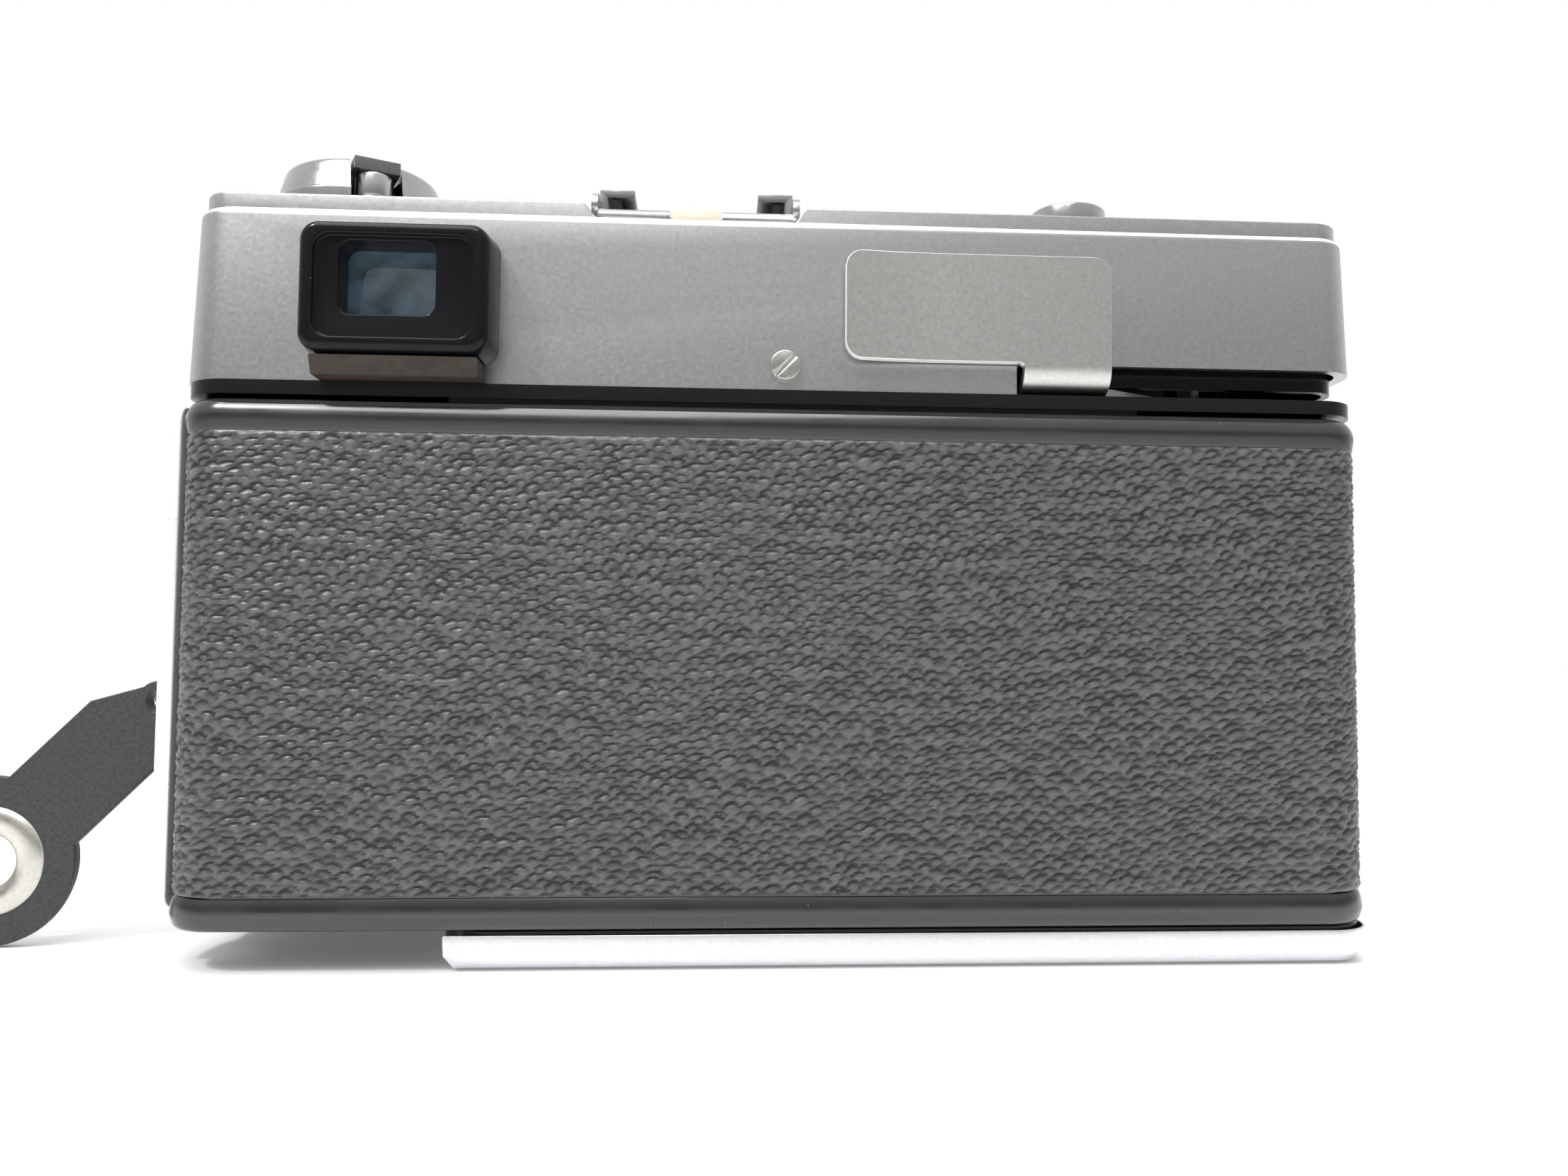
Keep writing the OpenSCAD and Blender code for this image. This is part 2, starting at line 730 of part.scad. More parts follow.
module accessory_shoe() {
    x0 = shoe_x - shoe_w / 2;
    x1 = shoe_x + shoe_w / 2;
    y1 = shoe_back + shoe_len;
    lip_w = (shoe_w - shoe_gap) / 2;
    top = shoe_floor + shoe_clear + shoe_t;
    color([0.75, 0.77, 0.76]) difference() {
        union() {
            block(x0, x1, shoe_back, y1, cover_top, shoe_floor);
            for (x = [x0, x1 - shoe_t]) block(x, x + shoe_t, shoe_back, y1, shoe_floor, top);
            for (x = [x0, x1 - lip_w]) block(x, x + lip_w, shoe_back, y1, top - shoe_t, top);
            // Stop at the front end
            block(x0, x1, y1 - shoe_t, y1, shoe_floor, shoe_floor + shoe_clear + 0.01);
        }
        // Bed of the insulator and the spring's root
        block(shoe_x - insulator_w / 2 - snug, shoe_x + insulator_w / 2 + snug, shoe_back - 1,
            shoe_back + 12, shoe_floor - 0.9, shoe_floor + 1);
        for (p = shoe_screws) zcyl(p[0], p[1], shoe_floor - 0.6, shoe_floor + 1, shoe_shank_r);
    }
}

module shoe_spring() {
    leaf_t = 0.4;
    leaf_in = insulator_w / 2 + 0.2;
    leaf_out = shoe_w / 2 - shoe_t - 0.2;
    color([0.7, 0.72, 0.72]) for (s = [-1, 1]) {
        translate([shoe_x + s * (leaf_in + leaf_out) / 2, 0, 0]) {
            block(-(leaf_out - leaf_in) / 2, (leaf_out - leaf_in) / 2, shoe_back - roll_r,
                shoe_back + 3, shoe_floor, shoe_floor + leaf_t);
            block(-(leaf_out - leaf_in) / 2 + 1.6, (leaf_out - leaf_in) / 2 - 1.6, shoe_back,
                shoe_back + shoe_len - 2, shoe_floor, shoe_floor + leaf_t);
        }
        // Rolled end in front of the rail
        translate([shoe_x + s * (leaf_in + shoe_w / 2) / 2, shoe_back - roll_r,
            shoe_floor + leaf_t - roll_r]) rotate([0, 90, 0])
                cylinder(h = shoe_w / 2 - leaf_in, r = roll_r, center = true);
        // Clip at the outer end
        translate([shoe_x + s * (shoe_w / 2 + 0.3), shoe_back - roll_r, shoe_floor + 0.5])
            rotate([0, 90, 0]) cylinder(h = 0.7, r = 1.5, center = true);
    }
}

module shoe_insulator() {
    color([0.85, 0.82, 0.72]) difference() {
        union() {
            block(shoe_x - insulator_w / 2, shoe_x + insulator_w / 2, shoe_back - 1.6,
                shoe_back + 11.9, shoe_floor - 0.9, shoe_floor);
            block(shoe_x - insulator_w / 2, shoe_x + insulator_w / 2, shoe_back - 1.6,
                shoe_back - 0.2, shoe_floor - 1, shoe_floor + 0.5);
        }
        zcyl(shoe_x, shoe_back + 9, shoe_floor - 0.5, shoe_floor + 1, contact_r + snug);
    }
}

module shoe_contact() {
    color([0.8, 0.8, 0.78]) zcyl(shoe_x, shoe_back + 9, shoe_floor - 0.5, shoe_floor + 0.15, contact_r);
}

// ---- Base ----

module base_plate() {
    color([0.8, 0.81, 0.8]) difference() {
        translate([0, 0, plate_h]) mirror([0, 0, 1])
            soft_slab(-plate_left, plate_right, plate_back, plate_front, 0, plate_h, 3, 1);
        rbox(-plate_left + plate_wall, plate_right - plate_wall, plate_back + plate_wall,
            plate_front - plate_wall, plate_wall, plate_h + 1, 2);
        zcyl(0, 0, -1, 3, socket_r + snug);
        zcyl(battery_x, 0, -1, 3, battery_r + run);
        zcyl(release_x, release_y, -1, 3, release_r + run);
        for (p = plate_screws) {
            zcyl(p[0], p[1], -1, 3, base_shank_r + snug);
            zcyl(p[0], p[1], -1, 0.5, 2 + snug);
        }
    }
    // Pads that carry the screws
    color([0.8, 0.81, 0.8]) for (p = plate_screws) difference() {
        zcyl(p[0], p[1], 0.9, plate_h, 2.4);
        zcyl(p[0], p[1], 0, 3, base_shank_r + snug);
    }
}

module tripod_socket() {
    color([0.7, 0.68, 0.62]) difference() {
        zcyl(0, 0, 0, tripod_depth + 1.6, socket_r);
        zcyl(0, 0, -1, tripod_depth, tripod_r);
    }
}

module base_screws() {
    color([0.75, 0.76, 0.74]) {
        for (p = plate_screws) translate([p[0], p[1], 0.5]) mirror([0, 0, 1])
            slotted_screw(2, 0.45, base_shank_r, 6, 30);
        translate([foot_x, foot_y, floor_z]) mirror([0, 0, 1])
            slotted_screw(foot_r, 1.15, base_shank_r, 3, 10);
    }
}

module battery_cap() {
    color([0.72, 0.73, 0.72]) difference() {
        union() {
            zcyl(battery_x, 0, 0.25, 1.8, battery_r);
            zcyl(battery_x, 0, 0.25, 6, battery_r - 1);
        }
        // Coin slot
        block(battery_x - 4.5, battery_x + 4.5, -0.7, 0.7, -1, 1);
    }
}

module rewind_release() {
    color([0.72, 0.73, 0.72]) zcyl(release_x, release_y, 0.4, 7.4, release_r);
}

// ---- Back door ----

// Plan of the door's shell of one thickness, open in front
module door_plan(half, back, wall) {
    difference() {
        rrect(-half, half, back, 20, end_r);
        rrect(-half + wall, half - wall, back + wall, 30, end_r - min(wall, end_r - 0.5));
        translate([-100, left_wrap_y]) square([100, 50]);
        translate([0, hinge_y]) square([100, 50]);
    }
}

module back_door() {
    h = door_high - door_low;
    color([0.12, 0.12, 0.13]) {
        difference() {
            union() {
                translate([0, 0, door_low]) linear_extrude(h)
                    door_plan(metal_half, door_metal, door_wall);
                // Upper and lower rims, stepped back at their edges
                for (r = [[door_low, low_rim_h - 0.2], [door_high - top_rim_h, top_rim_h]])
                    difference() {
                        union() {
                            translate([0, 0, r[0]]) linear_extrude(r[1])
                                door_plan(rim_half - 0.4, rim_back + 0.35, door_wall);
                            translate([0, 0, r[0] + 0.5]) linear_extrude(r[1] - 1)
                                door_plan(rim_half, rim_back, door_wall);
                        }
                        block(rim_half - 4, rim_half + 1, hinge_y - knuckle_r - gap, 0,
                            r[0] - 1, r[0] + r[1] + 1);
                    }
                zcyl(hinge_x, hinge_y, door_low, door_high, knuckle_r);
                for (s = studs) ycyl(s[0], s[1], door_inner - 0.1, press_front - 0.2, stud_r);
            }
            zcyl(hinge_x, hinge_y, door_low - 1, door_high + 1, hinge_pin_r + run);
        }
    }
}

module door_leatherette() {
    color([0.16, 0.16, 0.16]) difference() {
        translate([0, 0, door_low + low_rim_h - 0.1])
            linear_extrude(door_high - top_rim_h - 0.1 - (door_low + low_rim_h - 0.1))
                door_plan(skin_half, door_skin, leather_t);
        block(skin_half - 5, skin_half + 1, hinge_y - knuckle_r - gap, 0, 0, 100);
    }
}

module pressure_plate() {
    color([0.08, 0.08, 0.09]) difference() {
        yslab(press_left, press_right, lens_z - press_half_h, lens_z + press_half_h,
            press_front - press_t, press_front, 2);
        for (s = studs) ycyl(s[0], s[1], press_front - 3, press_front + 1, stud_r + run);
    }
}

module hinge_pin() {
    color([0.6, 0.6, 0.6]) zcyl(hinge_x, hinge_y, plate_h + 0.4, deck_top - 0.4, hinge_pin_r);
}

module door_latch() {
    color([0.78, 0.79, 0.78]) {
        translate([latch_x, 0, 0]) rotate([90, 0, -90]) linear_extrude(latch_t)
            rrect(-latch_y - latch_w, -latch_y, latch_low, latch_high, 1.6);
        for (z = latch_stems_z) block(latch_x - 0.1, -side_half + 1.5, latch_stem_y - latch_stem / 2,
            latch_stem_y + latch_stem / 2, z - latch_stem / 2, z + latch_stem / 2);
    }
}

// ---- Rewind ----

module rewind_shaft() {
    tip = deck_z - 6;
    color([0.7, 0.7, 0.7]) difference() {
        zcyl(cassette_x, cassette_y, tip, knob_z + 1.5, rewind_r);
        translate([cassette_x, cassette_y, 0]) block(-0.9, 0.9, -5, 5, tip - 1, tip + 3);
    }
}

module rewind_sleeve() {
    color([0.6, 0.55, 0.4]) difference() {
        zcyl(cassette_x, cassette_y, deck_top + 1, deck_top + 1 + sleeve_h, sleeve_r);
        zcyl(cassette_x, cassette_y, deck_top, deck_top + 2 + sleeve_h, rewind_r + run);
    }
}

// Frame of the knob: the notch faces -Y before the turn
module knob_frame() {
    translate([cassette_x, cassette_y, 0]) rotate([0, 0, notch_turn]) children();
}

module rewind_knob() {
    color([0.8, 0.81, 0.81]) difference() {
        knob_frame() {
            difference() {
                union() {
                    zcyl(0, 0, knob_z, knob_top - 0.5, knob_r);
                    zcyl(0, 0, knob_z, knob_top, knob_r - 0.5);
                }
                // Slot across the top and notch in the rim
                block(-notch_w / 2, notch_w / 2, -knob_r - 1, knob_r + 1, crank_z - 0.1, knob_top + 1);
                block(-notch_w / 2, notch_w / 2, -knob_r - 1, -grip_off + grip_r + 0.4,
                    knob_z + 0.6, knob_top);
                // Seat of the crank's hinge pin
                translate([0, -crank_pin_off, crank_z + crank_t / 2]) rotate([0, 90, 0])
                    cylinder(h = notch_w + 2.4, r = crank_pin_r + run, center = true);
            }
        }
        zcyl(cassette_x, cassette_y, knob_z - 1, knob_z + 1.5, rewind_r + snug);
    }
}

module rewind_crank() {
    w = notch_w - 0.6;
    color([0.3, 0.31, 0.31]) knob_frame() {
        block(-w / 2, w / 2, -knob_r + 0.5, -crank_pin_off, crank_z, crank_z + crank_t);
        translate([0, -crank_pin_off, crank_z + crank_t / 2]) rotate([0, 90, 0]) {
            cylinder(h = w, r = crank_t / 2, center = true);
            cylinder(h = notch_w + 2, r = crank_pin_r, center = true);
        }
        zcyl(0, -grip_off, crank_z - grip_h - 0.1, crank_z + 0.1, grip_pin_r);
    }
}

module crank_grip() {
    color([0.5, 0.51, 0.51]) knob_frame() difference() {
        zcyl(0, -grip_off, crank_z - grip_h, crank_z - 0.05, grip_r);
        zcyl(0, -grip_off, crank_z - grip_h - 1, crank_z + 1, grip_pin_r + run);
    }
}

// ---- Shutter button and frame counter ----

module shutter_button() {
    low = shroud_high + gap + button_travel;
    top = platform_top + collar_h + 0.6;
    color([0.25, 0.28, 0.3]) difference() {
        translate([button_x, button_y, 0]) rotate_extrude() polygon([[0, low], [button_r, low],
            [button_r, top - 0.7], [button_r - 0.35, top - 0.3], [button_r - 0.9, top], [0, top]]);
        // Bore for a cable release
        zcyl(button_x, button_y, top - 4.5, top + 1, 1.1);
    }
}

module button_collar() {
    color([0.82, 0.83, 0.83]) difference() {
        zcyl(button_x, button_y, platform_top, platform_top + collar_h, collar_r);
        zcyl(button_x, button_y, platform_top - 1, platform_top + collar_h + 1, button_r + run);
    }
}

module frame_counter() {
    color([0.1, 0.1, 0.1]) {
        zcyl(counter_x, counter_y, counter_z, counter_z + 0.6, counter_r);
        zcyl(counter_x, counter_y, deck_top + 1, counter_z + 0.1, dial_pin_r);
        zcyl(counter_x, counter_y, deck_top + 6, deck_top + 7, 2.5);
    }
}

module counter_window() {
    color([0.8, 0.85, 0.88, 0.5])
        zcyl(counter_x, counter_win_y, platform_top - cover_wall, platform_top + 0.2, counter_win_r);
}

// ---- Wind lever ----

module wind_lever() {
    bend_y = cover_back - lever_gap + bend_r;
    bend_z = arm_z + lever_t + bend_r;
    color([0.68, 0.68, 0.65]) difference() {
        union() {
            // Thumb plate against the back of the cover
            yslab(thumb_x - thumb_w, thumb_x, thumb_z, thumb_z + thumb_h, thumb_face,
                thumb_face + lever_t, 1.8);
            // Bend from the plate into the slot
            translate([thumb_x - tab_w, bend_y, bend_z]) rotate([0, 90, 0])
                difference() {
                    cylinder(h = tab_w, r = bend_r + lever_t);
                    translate([0, 0, -1]) cylinder(h = tab_w + 2, r = bend_r);
                    translate([-9, -9, -1]) cube([9, 20, tab_w + 2]);
                    translate([-9, 0, -1]) cube([20, 9, tab_w + 2]);
                }
            block(thumb_x - tab_w, thumb_x, thumb_face, thumb_face + lever_t, bend_z - 0.01,
                thumb_z + 2);
            // Arm from the shaft to the bend
            translate([0, 0, arm_z]) linear_extrude(lever_t) polygon([
                [thumb_x - tab_w, bend_y - 0.01], [thumb_x, bend_y - 0.01],
                [wind_x + 3, wind_y - 3], [wind_x - 3, wind_y + 3]]);
            zcyl(wind_x, wind_y, arm_z, arm_z + lever_t, 5);
        }
        zcyl(wind_x, wind_y, arm_z - 1, arm_z + 2 * lever_t, wind_r + snug);
    }
}

module wind_shaft() {
    color([0.6, 0.6, 0.6]) {
        zcyl(wind_x, wind_y, deck_z - 3.5, shroud_high + 0.6, wind_r);
    }
}

module take_up_spool() {
    low = bay_low + gap;
    high = deck_z - gap;
    color([0.07, 0.07, 0.07]) difference() {
        union() {
            zcyl(wind_x, wind_y, low, high, spool_r);
            zcyl(wind_x, wind_y, low, low + 1, spool_r + spool_rim);
            zcyl(wind_x, wind_y, high - 1, high, spool_r + spool_rim);
            zcyl(wind_x, wind_y, bay_low - spool_pin_h, low + 0.1, spool_pin_r);
        }
        zcyl(wind_x, wind_y, deck_z - 4, deck_z + 1, wind_r + run);
        // Slots that catch the film's end
        for (a = [0:60:120]) translate([wind_x, wind_y, lens_z]) rotate([0, 0, a])
            block(-0.6, 0.6, -spool_r - 1, spool_r + 1, -11, 11);
    }
}

module sprocket() {
    color([0.55, 0.55, 0.56]) translate([sprocket_x, sprocket_y, lens_z]) {
        cylinder(h = 2 * sprocket_half, r = sprocket_r - 1.2, center = true);
        cylinder(h = 2 * sprocket_half + 4, r = sprocket_pin_r, center = true);
        for (s = [-1, 1]) translate([0, 0, s * row_dz]) {
            cylinder(h = 4, r = sprocket_r, center = true);
            for (i = [0:tooth_count - 1]) rotate([0, 0, (i + 0.5) * 360 / tooth_count])
                translate([0, -0.9, -0.7]) cube([sprocket_r + tooth_h, 1.8, 1.4]);
        }
    }
}

// ---- Lens ----

module lens_mount() {
    color([0.75, 0.76, 0.76]) {
        lens_ring(barrel_r + run, tube_r, bore_y + 1, flange_y - 0.6);
        lens_ring(tube_r - 0.5, mount_r, front_face, front_face + mount_t);
    }
}

module focus_ring() {
    flute_n = 36;
    color([0.12, 0.12, 0.12]) {
        difference() {
            union() {
                lens_ring(tube_r + run, focus_r, focus_y, focus_y + focus_len);
                // Finger tab, low on the left
                translate([0, 0, lens_z]) rotate([0, -200, 0])
                    block(focus_r - 1, focus_r + 3.5, focus_y + 1, focus_y + 6, -3.5, 3.5);
            }
            for (i = [0:flute_n - 1]) translate([0, 0, lens_z])
                rotate([0, i * 360 / flute_n, 0]) ycyl(focus_r + 0.35, 0, focus_y + 1.2,
                    focus_y + focus_len - 1.2, flute_r, $fn = 24);
        }
    }
}

module lens_barrel() {
    color([0.7, 0.71, 0.71]) difference() {
        turned([[rear_glass_r + snug, bore_y + 2], [barrel_r, bore_y + 2], [barrel_r, flange_y],
            [brow_r, flange_y], [brow_r, flange_y + 0.8], [hub_r, flange_y + 0.8],
            [hub_r, filter_y], [hub_r - hub_wall, filter_y], [hub_r - hub_wall, filter_y - 1],
            [front_glass_r + snug, filter_y - 1], [front_glass_r + snug, filter_y - 5],
            [front_glass_r - 1.2, filter_y - 5.6], [port_r + 1.5, blade_y + 3.4],
            [shutter_r, blade_y + 3.4], [shutter_r, blade_y - 0.6],
            [port_r, blade_y - 0.6], [rear_glass_r - 1, bore_y + 6.6],
            [rear_glass_r + snug, bore_y + 6]]);
        // Pin holes of the blades
        for (i = [0:blade_count - 1]) blade_frame(i)
            ycyl(blade_pivot, 0, blade_y - 2, blade_y, blade_pin_r + run);
    }
}

module speed_ring() {
    color([0.74, 0.75, 0.75]) difference() {
        lens_ring(hub_r + run, speed_r, speed_y, speed_y + speed_len);
        for (i = [0:29]) translate([0, 0, lens_z]) rotate([0, i * 12, 0])
            ycyl(speed_r + 0.3, 0, speed_y + 2.6, speed_y + speed_len + 1, flute_r, $fn = 24);
    }
}

module aperture_ring() {
    color([0.72, 0.73, 0.73]) difference() {
        lens_ring(hub_r + run, aperture_r, aperture_y, aperture_y + aperture_len);
        for (i = [0:23]) translate([0, 0, lens_z]) rotate([0, i * 15, 0])
            ycyl(aperture_r + 0.3, 0, aperture_y - 1, aperture_y + 2.2, flute_r, $fn = 24);
    }
}

module filter_ring() {
    color([0.78, 0.79, 0.79]) difference() {
        turned([[front_glass_r + 1, filter_y], [filter_r + filter_wall, filter_y],
            [filter_r + filter_wall, lens_front - 0.5], [filter_r + filter_wall - 0.5, lens_front],
            [filter_r, lens_front], [filter_r, lens_front - filter_depth],
            [front_glass_r + 1, filter_y + 0.7]]);
        ycyl(0, lens_z + cell_up, filter_y - 1, filter_y + 4, cell_r + snug);
    }
}

module front_element() {
    color([0.3, 0.33, 0.45, 0.6]) turned([[0, filter_y - 4], [front_glass_r - 2, filter_y - 5],
        [front_glass_r, filter_y - 5], [front_glass_r, filter_y - 2],
        [front_glass_r * 0.75, filter_y - 0.9], [front_glass_r * 0.45, filter_y],
        [0, filter_y + 0.5]]);
}

module rear_element() {
    color([0.3, 0.35, 0.4, 0.6]) turned([[0, bore_y + 1.4], [rear_glass_r * 0.6, bore_y + 1.8],
        [rear_glass_r, bore_y + 2.6], [rear_glass_r, bore_y + 6], [0, bore_y + 6]]);
}

module meter_cell() {
    color([0.2, 0.22, 0.25]) ycyl(0, lens_z + cell_up, filter_y - 0.9, filter_y + 0.95, cell_r);
}

// Turn of one blade about the lens axis
module blade_frame(i) {
    translate([0, 0, lens_z]) rotate([0, i * 360 / blade_count, 0]) children();
}

// Crescent blade on its pin, swung in from the wall by the rest angle
module shutter_blade(i) {
    y0 = blade_y + i * blade_pitch;
    far = 3 * blade_out_r;
    color([0.05, 0.05, 0.05]) blade_frame(i) translate([blade_pivot, 0, 0])
        rotate([0, -blade_rest, 0]) translate([-blade_pivot, 0, 0]) {
            translate([0, y0 + blade_t, 0]) rotate([90, 0, 0]) linear_extrude(blade_t) {
                difference() {
                    circle(blade_out_r);
                    circle(blade_in_r);
                    polygon([[0, 0], [far, -far / 12], [far, -far], [-far, -far], [-far, far],
                        [far * cos(blade_span), far * sin(blade_span)]]);
                }
                translate([blade_out_r - 0.8, -blade_ear_r])
                    square([blade_pivot - blade_out_r + 0.8, 2 * blade_ear_r]);
                translate([blade_pivot, 0]) circle(blade_ear_r);
            }
            ycyl(blade_pivot, 0, blade_y - 1.6, y0 + blade_t, blade_pin_r);
        }
}

module shutter_blade_1() { shutter_blade(0); }
module shutter_blade_2() { shutter_blade(1); }
module shutter_blade_3() { shutter_blade(2); }
module shutter_blade_4() { shutter_blade(3); }
module shutter_blade_5() { shutter_blade(4); }

// ---- Self-timer ----

module self_timer() {
    y0 = front_face + 0.2;
    color([0.75, 0.76, 0.76]) {
        ycyl(timer_x, timer_z, front_face - 5, y0 + 0.1, timer_pin_r);
        ycyl(timer_x, timer_z, y0, y0 + 2.6, timer_r);
        yslab(timer_x - 2.2, timer_x + 2.2, timer_z - timer_arm, timer_z, y0 + 1, y0 + 2.6, 1.8);
    }
}

// ---- Strap ----

module strap_lugs() {
    color([0.72, 0.73, 0.72]) for (s = [-1, 1]) {
        translate([s * side_half, lug_y_of(s), lug_z]) rotate([0, 90 * s, 0]) {
            translate([0, 0, -2.6]) cylinder(h = 3, r = lug_pin_r);
            cylinder(h = leather_t + 0.3, r = lug_flange_r);
        }
        difference() {
            union() {
                ycyl(s * (side_half + lug_out), lug_z, lug_y_of(s) - lug_ear_t / 2,
                    lug_y_of(s) + lug_ear_t / 2, lug_ear_r);
                translate([s * (side_half + lug_out / 2 + 0.2), lug_y_of(s), lug_z])
                    cube([lug_out - 0.4, lug_ear_t, 2.4], center = true);
            }
            ycyl(s * (side_half + lug_out), lug_z, lug_y_of(s) - 2, lug_y_of(s) + 2, lug_eye_r);
        }
    }
}

// Frame of the strap: origin at the lug's eye, +X down along the strap
module strap_frame() {
    translate([lug_x, lug_y, lug_z]) rotate([0, 180 - strap_slope, 0]) children();
}

module strap_ring() {
    color([0.75, 0.76, 0.77]) strap_frame() translate([ring_r, 0, 0])
        rotate_extrude($fn = 48) translate([ring_r, 0]) circle(wire_r, $fn = 24);
}

// Outline of the strap along its frame, for one of its two layers
module strap_plan(half, end) {
    tab = 2 * ring_r;
    circle_x = strap_len;
    translate([tab, 0]) circle(2.2);
    polygon([[tab, -2.2], [tab + 5, -half], [circle_x, -half], [circle_x, half],
        [tab + 5, half], [tab, 2.2]]);
    translate([circle_x, 0]) circle(end);
}

module strap() {
    color([0.16, 0.17, 0.17]) strap_frame() rotate([90, 0, 0]) difference() {
        union() {
            linear_extrude(strap_t / 2) strap_plan(strap_w / 2, strap_end_r);
            translate([0, 0, -strap_t / 2]) linear_extrude(strap_t / 2)
                strap_plan(strap_w / 2 - 0.4, strap_end_r - 0.4);
        }
        translate([2 * ring_r, 0, -5]) cylinder(h = 10, r = strap_hole_r);
        translate([strap_len, 0, -5]) cylinder(h = 10, r = eyelet_r + 0.5 + snug);
    }
}

module strap_grommet() {
    color([0.72, 0.7, 0.66]) strap_frame() translate([strap_len, 0, 0]) rotate([90, 0, 0])
        difference() {
            union() {
                translate([0, 0, strap_t / 2]) cylinder(h = 0.5, r = grommet_r);
                translate([0, 0, -strap_t / 2 - 0.5]) cylinder(h = 0.5, r = grommet_r);
                translate([0, 0, -strap_t / 2 - 0.1]) cylinder(h = strap_t + 0.2, r = eyelet_r + 0.5);
            }
            translate([0, 0, -5]) cylinder(h = 10, r = eyelet_r);
        }
}

body_casting();
front_leatherette();
top_cover();
cover_screws();
wind_shroud();
eyepiece_frame();
eyepiece_skirt();
eyepiece_lens();
window_bezel();
finder_window();
front_windows();
beam_splitter();
mirror_arm();
rangefinder_mirror();
accessory_shoe();
shoe_spring();
shoe_insulator();
shoe_contact();
base_plate();
tripod_socket();
base_screws();
battery_cap();
rewind_release();
back_door();
door_leatherette();
pressure_plate();
hinge_pin();
door_latch();
rewind_shaft();
rewind_sleeve();
rewind_knob();
rewind_crank();
crank_grip();
shutter_button();
button_collar();
frame_counter();
counter_window();
wind_lever();
wind_shaft();
take_up_spool();
sprocket();
lens_mount();
focus_ring();
lens_barrel();
speed_ring();
aperture_ring();
filter_ring();
front_element();
rear_element();
meter_cell();
shutter_blade_1();
shutter_blade_2();
shutter_blade_3();
shutter_blade_4();
shutter_blade_5();
self_timer();
strap_lugs();
strap_ring();
strap();
strap_grommet();
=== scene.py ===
"""Looks of a rangefinder camera for 35 mm film, built round its CAD frame."""

import json
import math

import bmesh
import bpy
import numpy as np
from mathutils import Matrix, Vector


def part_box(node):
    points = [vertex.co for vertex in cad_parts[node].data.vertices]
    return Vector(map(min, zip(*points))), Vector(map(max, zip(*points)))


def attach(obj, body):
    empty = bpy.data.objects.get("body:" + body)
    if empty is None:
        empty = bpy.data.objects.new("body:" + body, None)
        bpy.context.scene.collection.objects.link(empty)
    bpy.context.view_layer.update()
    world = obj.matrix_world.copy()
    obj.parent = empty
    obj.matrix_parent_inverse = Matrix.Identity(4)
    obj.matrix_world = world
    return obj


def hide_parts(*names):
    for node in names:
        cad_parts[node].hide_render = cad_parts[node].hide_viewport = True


bl_info = {
    "name": "Rangefinder Camera",
    "version": (1, 0, 0),
    "blender": (4, 5, 0),
    "location": "View3D > Sidebar > Camera Maker",
    "description": "Builds the visible pieces of a rangefinder camera round its frame",
    "category": "Add Mesh",
}

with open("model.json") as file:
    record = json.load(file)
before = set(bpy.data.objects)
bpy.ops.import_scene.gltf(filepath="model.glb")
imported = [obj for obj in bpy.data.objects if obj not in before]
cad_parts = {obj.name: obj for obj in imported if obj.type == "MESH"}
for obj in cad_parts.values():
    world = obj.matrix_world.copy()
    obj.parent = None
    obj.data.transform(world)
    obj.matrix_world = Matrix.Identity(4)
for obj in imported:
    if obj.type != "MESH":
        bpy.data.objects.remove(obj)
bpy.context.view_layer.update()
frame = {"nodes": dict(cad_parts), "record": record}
MM = 0.001


# ---- Places and sizes that pieces share, from the frame and in metres ----

COVER_LOW, COVER_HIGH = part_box("top_cover")
DOOR_LOW, DOOR_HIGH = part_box("back_door")
SKIN_LOW, SKIN_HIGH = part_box("door_leatherette")
CASTING_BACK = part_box("body_casting")[0][1]
PLATE_LOW, PLATE_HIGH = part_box("base_plate")
KNOB_LOW, KNOB_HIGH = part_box("rewind_knob")
LEVER_LOW, LEVER_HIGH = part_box("wind_lever")
SHOE_LOW, SHOE_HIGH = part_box("accessory_shoe")
CLEARANCE = 0.3 * MM


def middle(node, axis):
    """Middle of a CAD node along one axis, 0 to 2."""
    low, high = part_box(node)
    return (low[axis] + high[axis]) / 2


def half_width(node):
    """Half of a CAD node's width."""
    low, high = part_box(node)
    return (high[0] - low[0]) / 2


COVER_TOP = COVER_HIGH[2] - 1.6 * MM
COVER_CORNER = 4.5 * MM
HINGE_X = middle("hinge_pin", 0)
HINGE_Y = middle("hinge_pin", 1)
DOOR_CORNER = 5 * MM
DOOR_RIGHT_END = HINGE_Y - 1.8 * MM
DOOR_LEFT_END = -9.5 * MM
LENS_Z = middle("filter_ring", 2)
KNOB_X = middle("rewind_knob", 0)
KNOB_Y = middle("rewind_knob", 1)
KNOB_TURN = math.radians(26)
THUMB_RIGHT = 33.8 * MM
THUMB_LOW = 62.1 * MM
TAB_WIDTH = 9.2 * MM
LEVER_SHEET = 1 * MM
LEVER_PIVOT = (47 * MM, -2.5 * MM)
SLOT_LEFT = THUMB_RIGHT - TAB_WIDTH - 0.5 * MM
SLOT_SIDE_Y = 4 * MM
SLOT_TOP = COVER_LOW[2] + 3.3 * MM
EYELET_RADIUS = 2.85 * MM
LUG_RADIUS = 2.2 * MM
LUG_RIGHT_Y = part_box("strap_lugs")[1][1] - LUG_RADIUS
BODIES = frame["record"]["behaviour"]["bodies"]
BODY_OF = {node: body for body, nodes in BODIES.items() for node in nodes}
SLOT_OF = {part["node"]: part["material_slot"] for part in frame["record"]["subparts"]}


# ---- Sizes and colours that a user may change ----


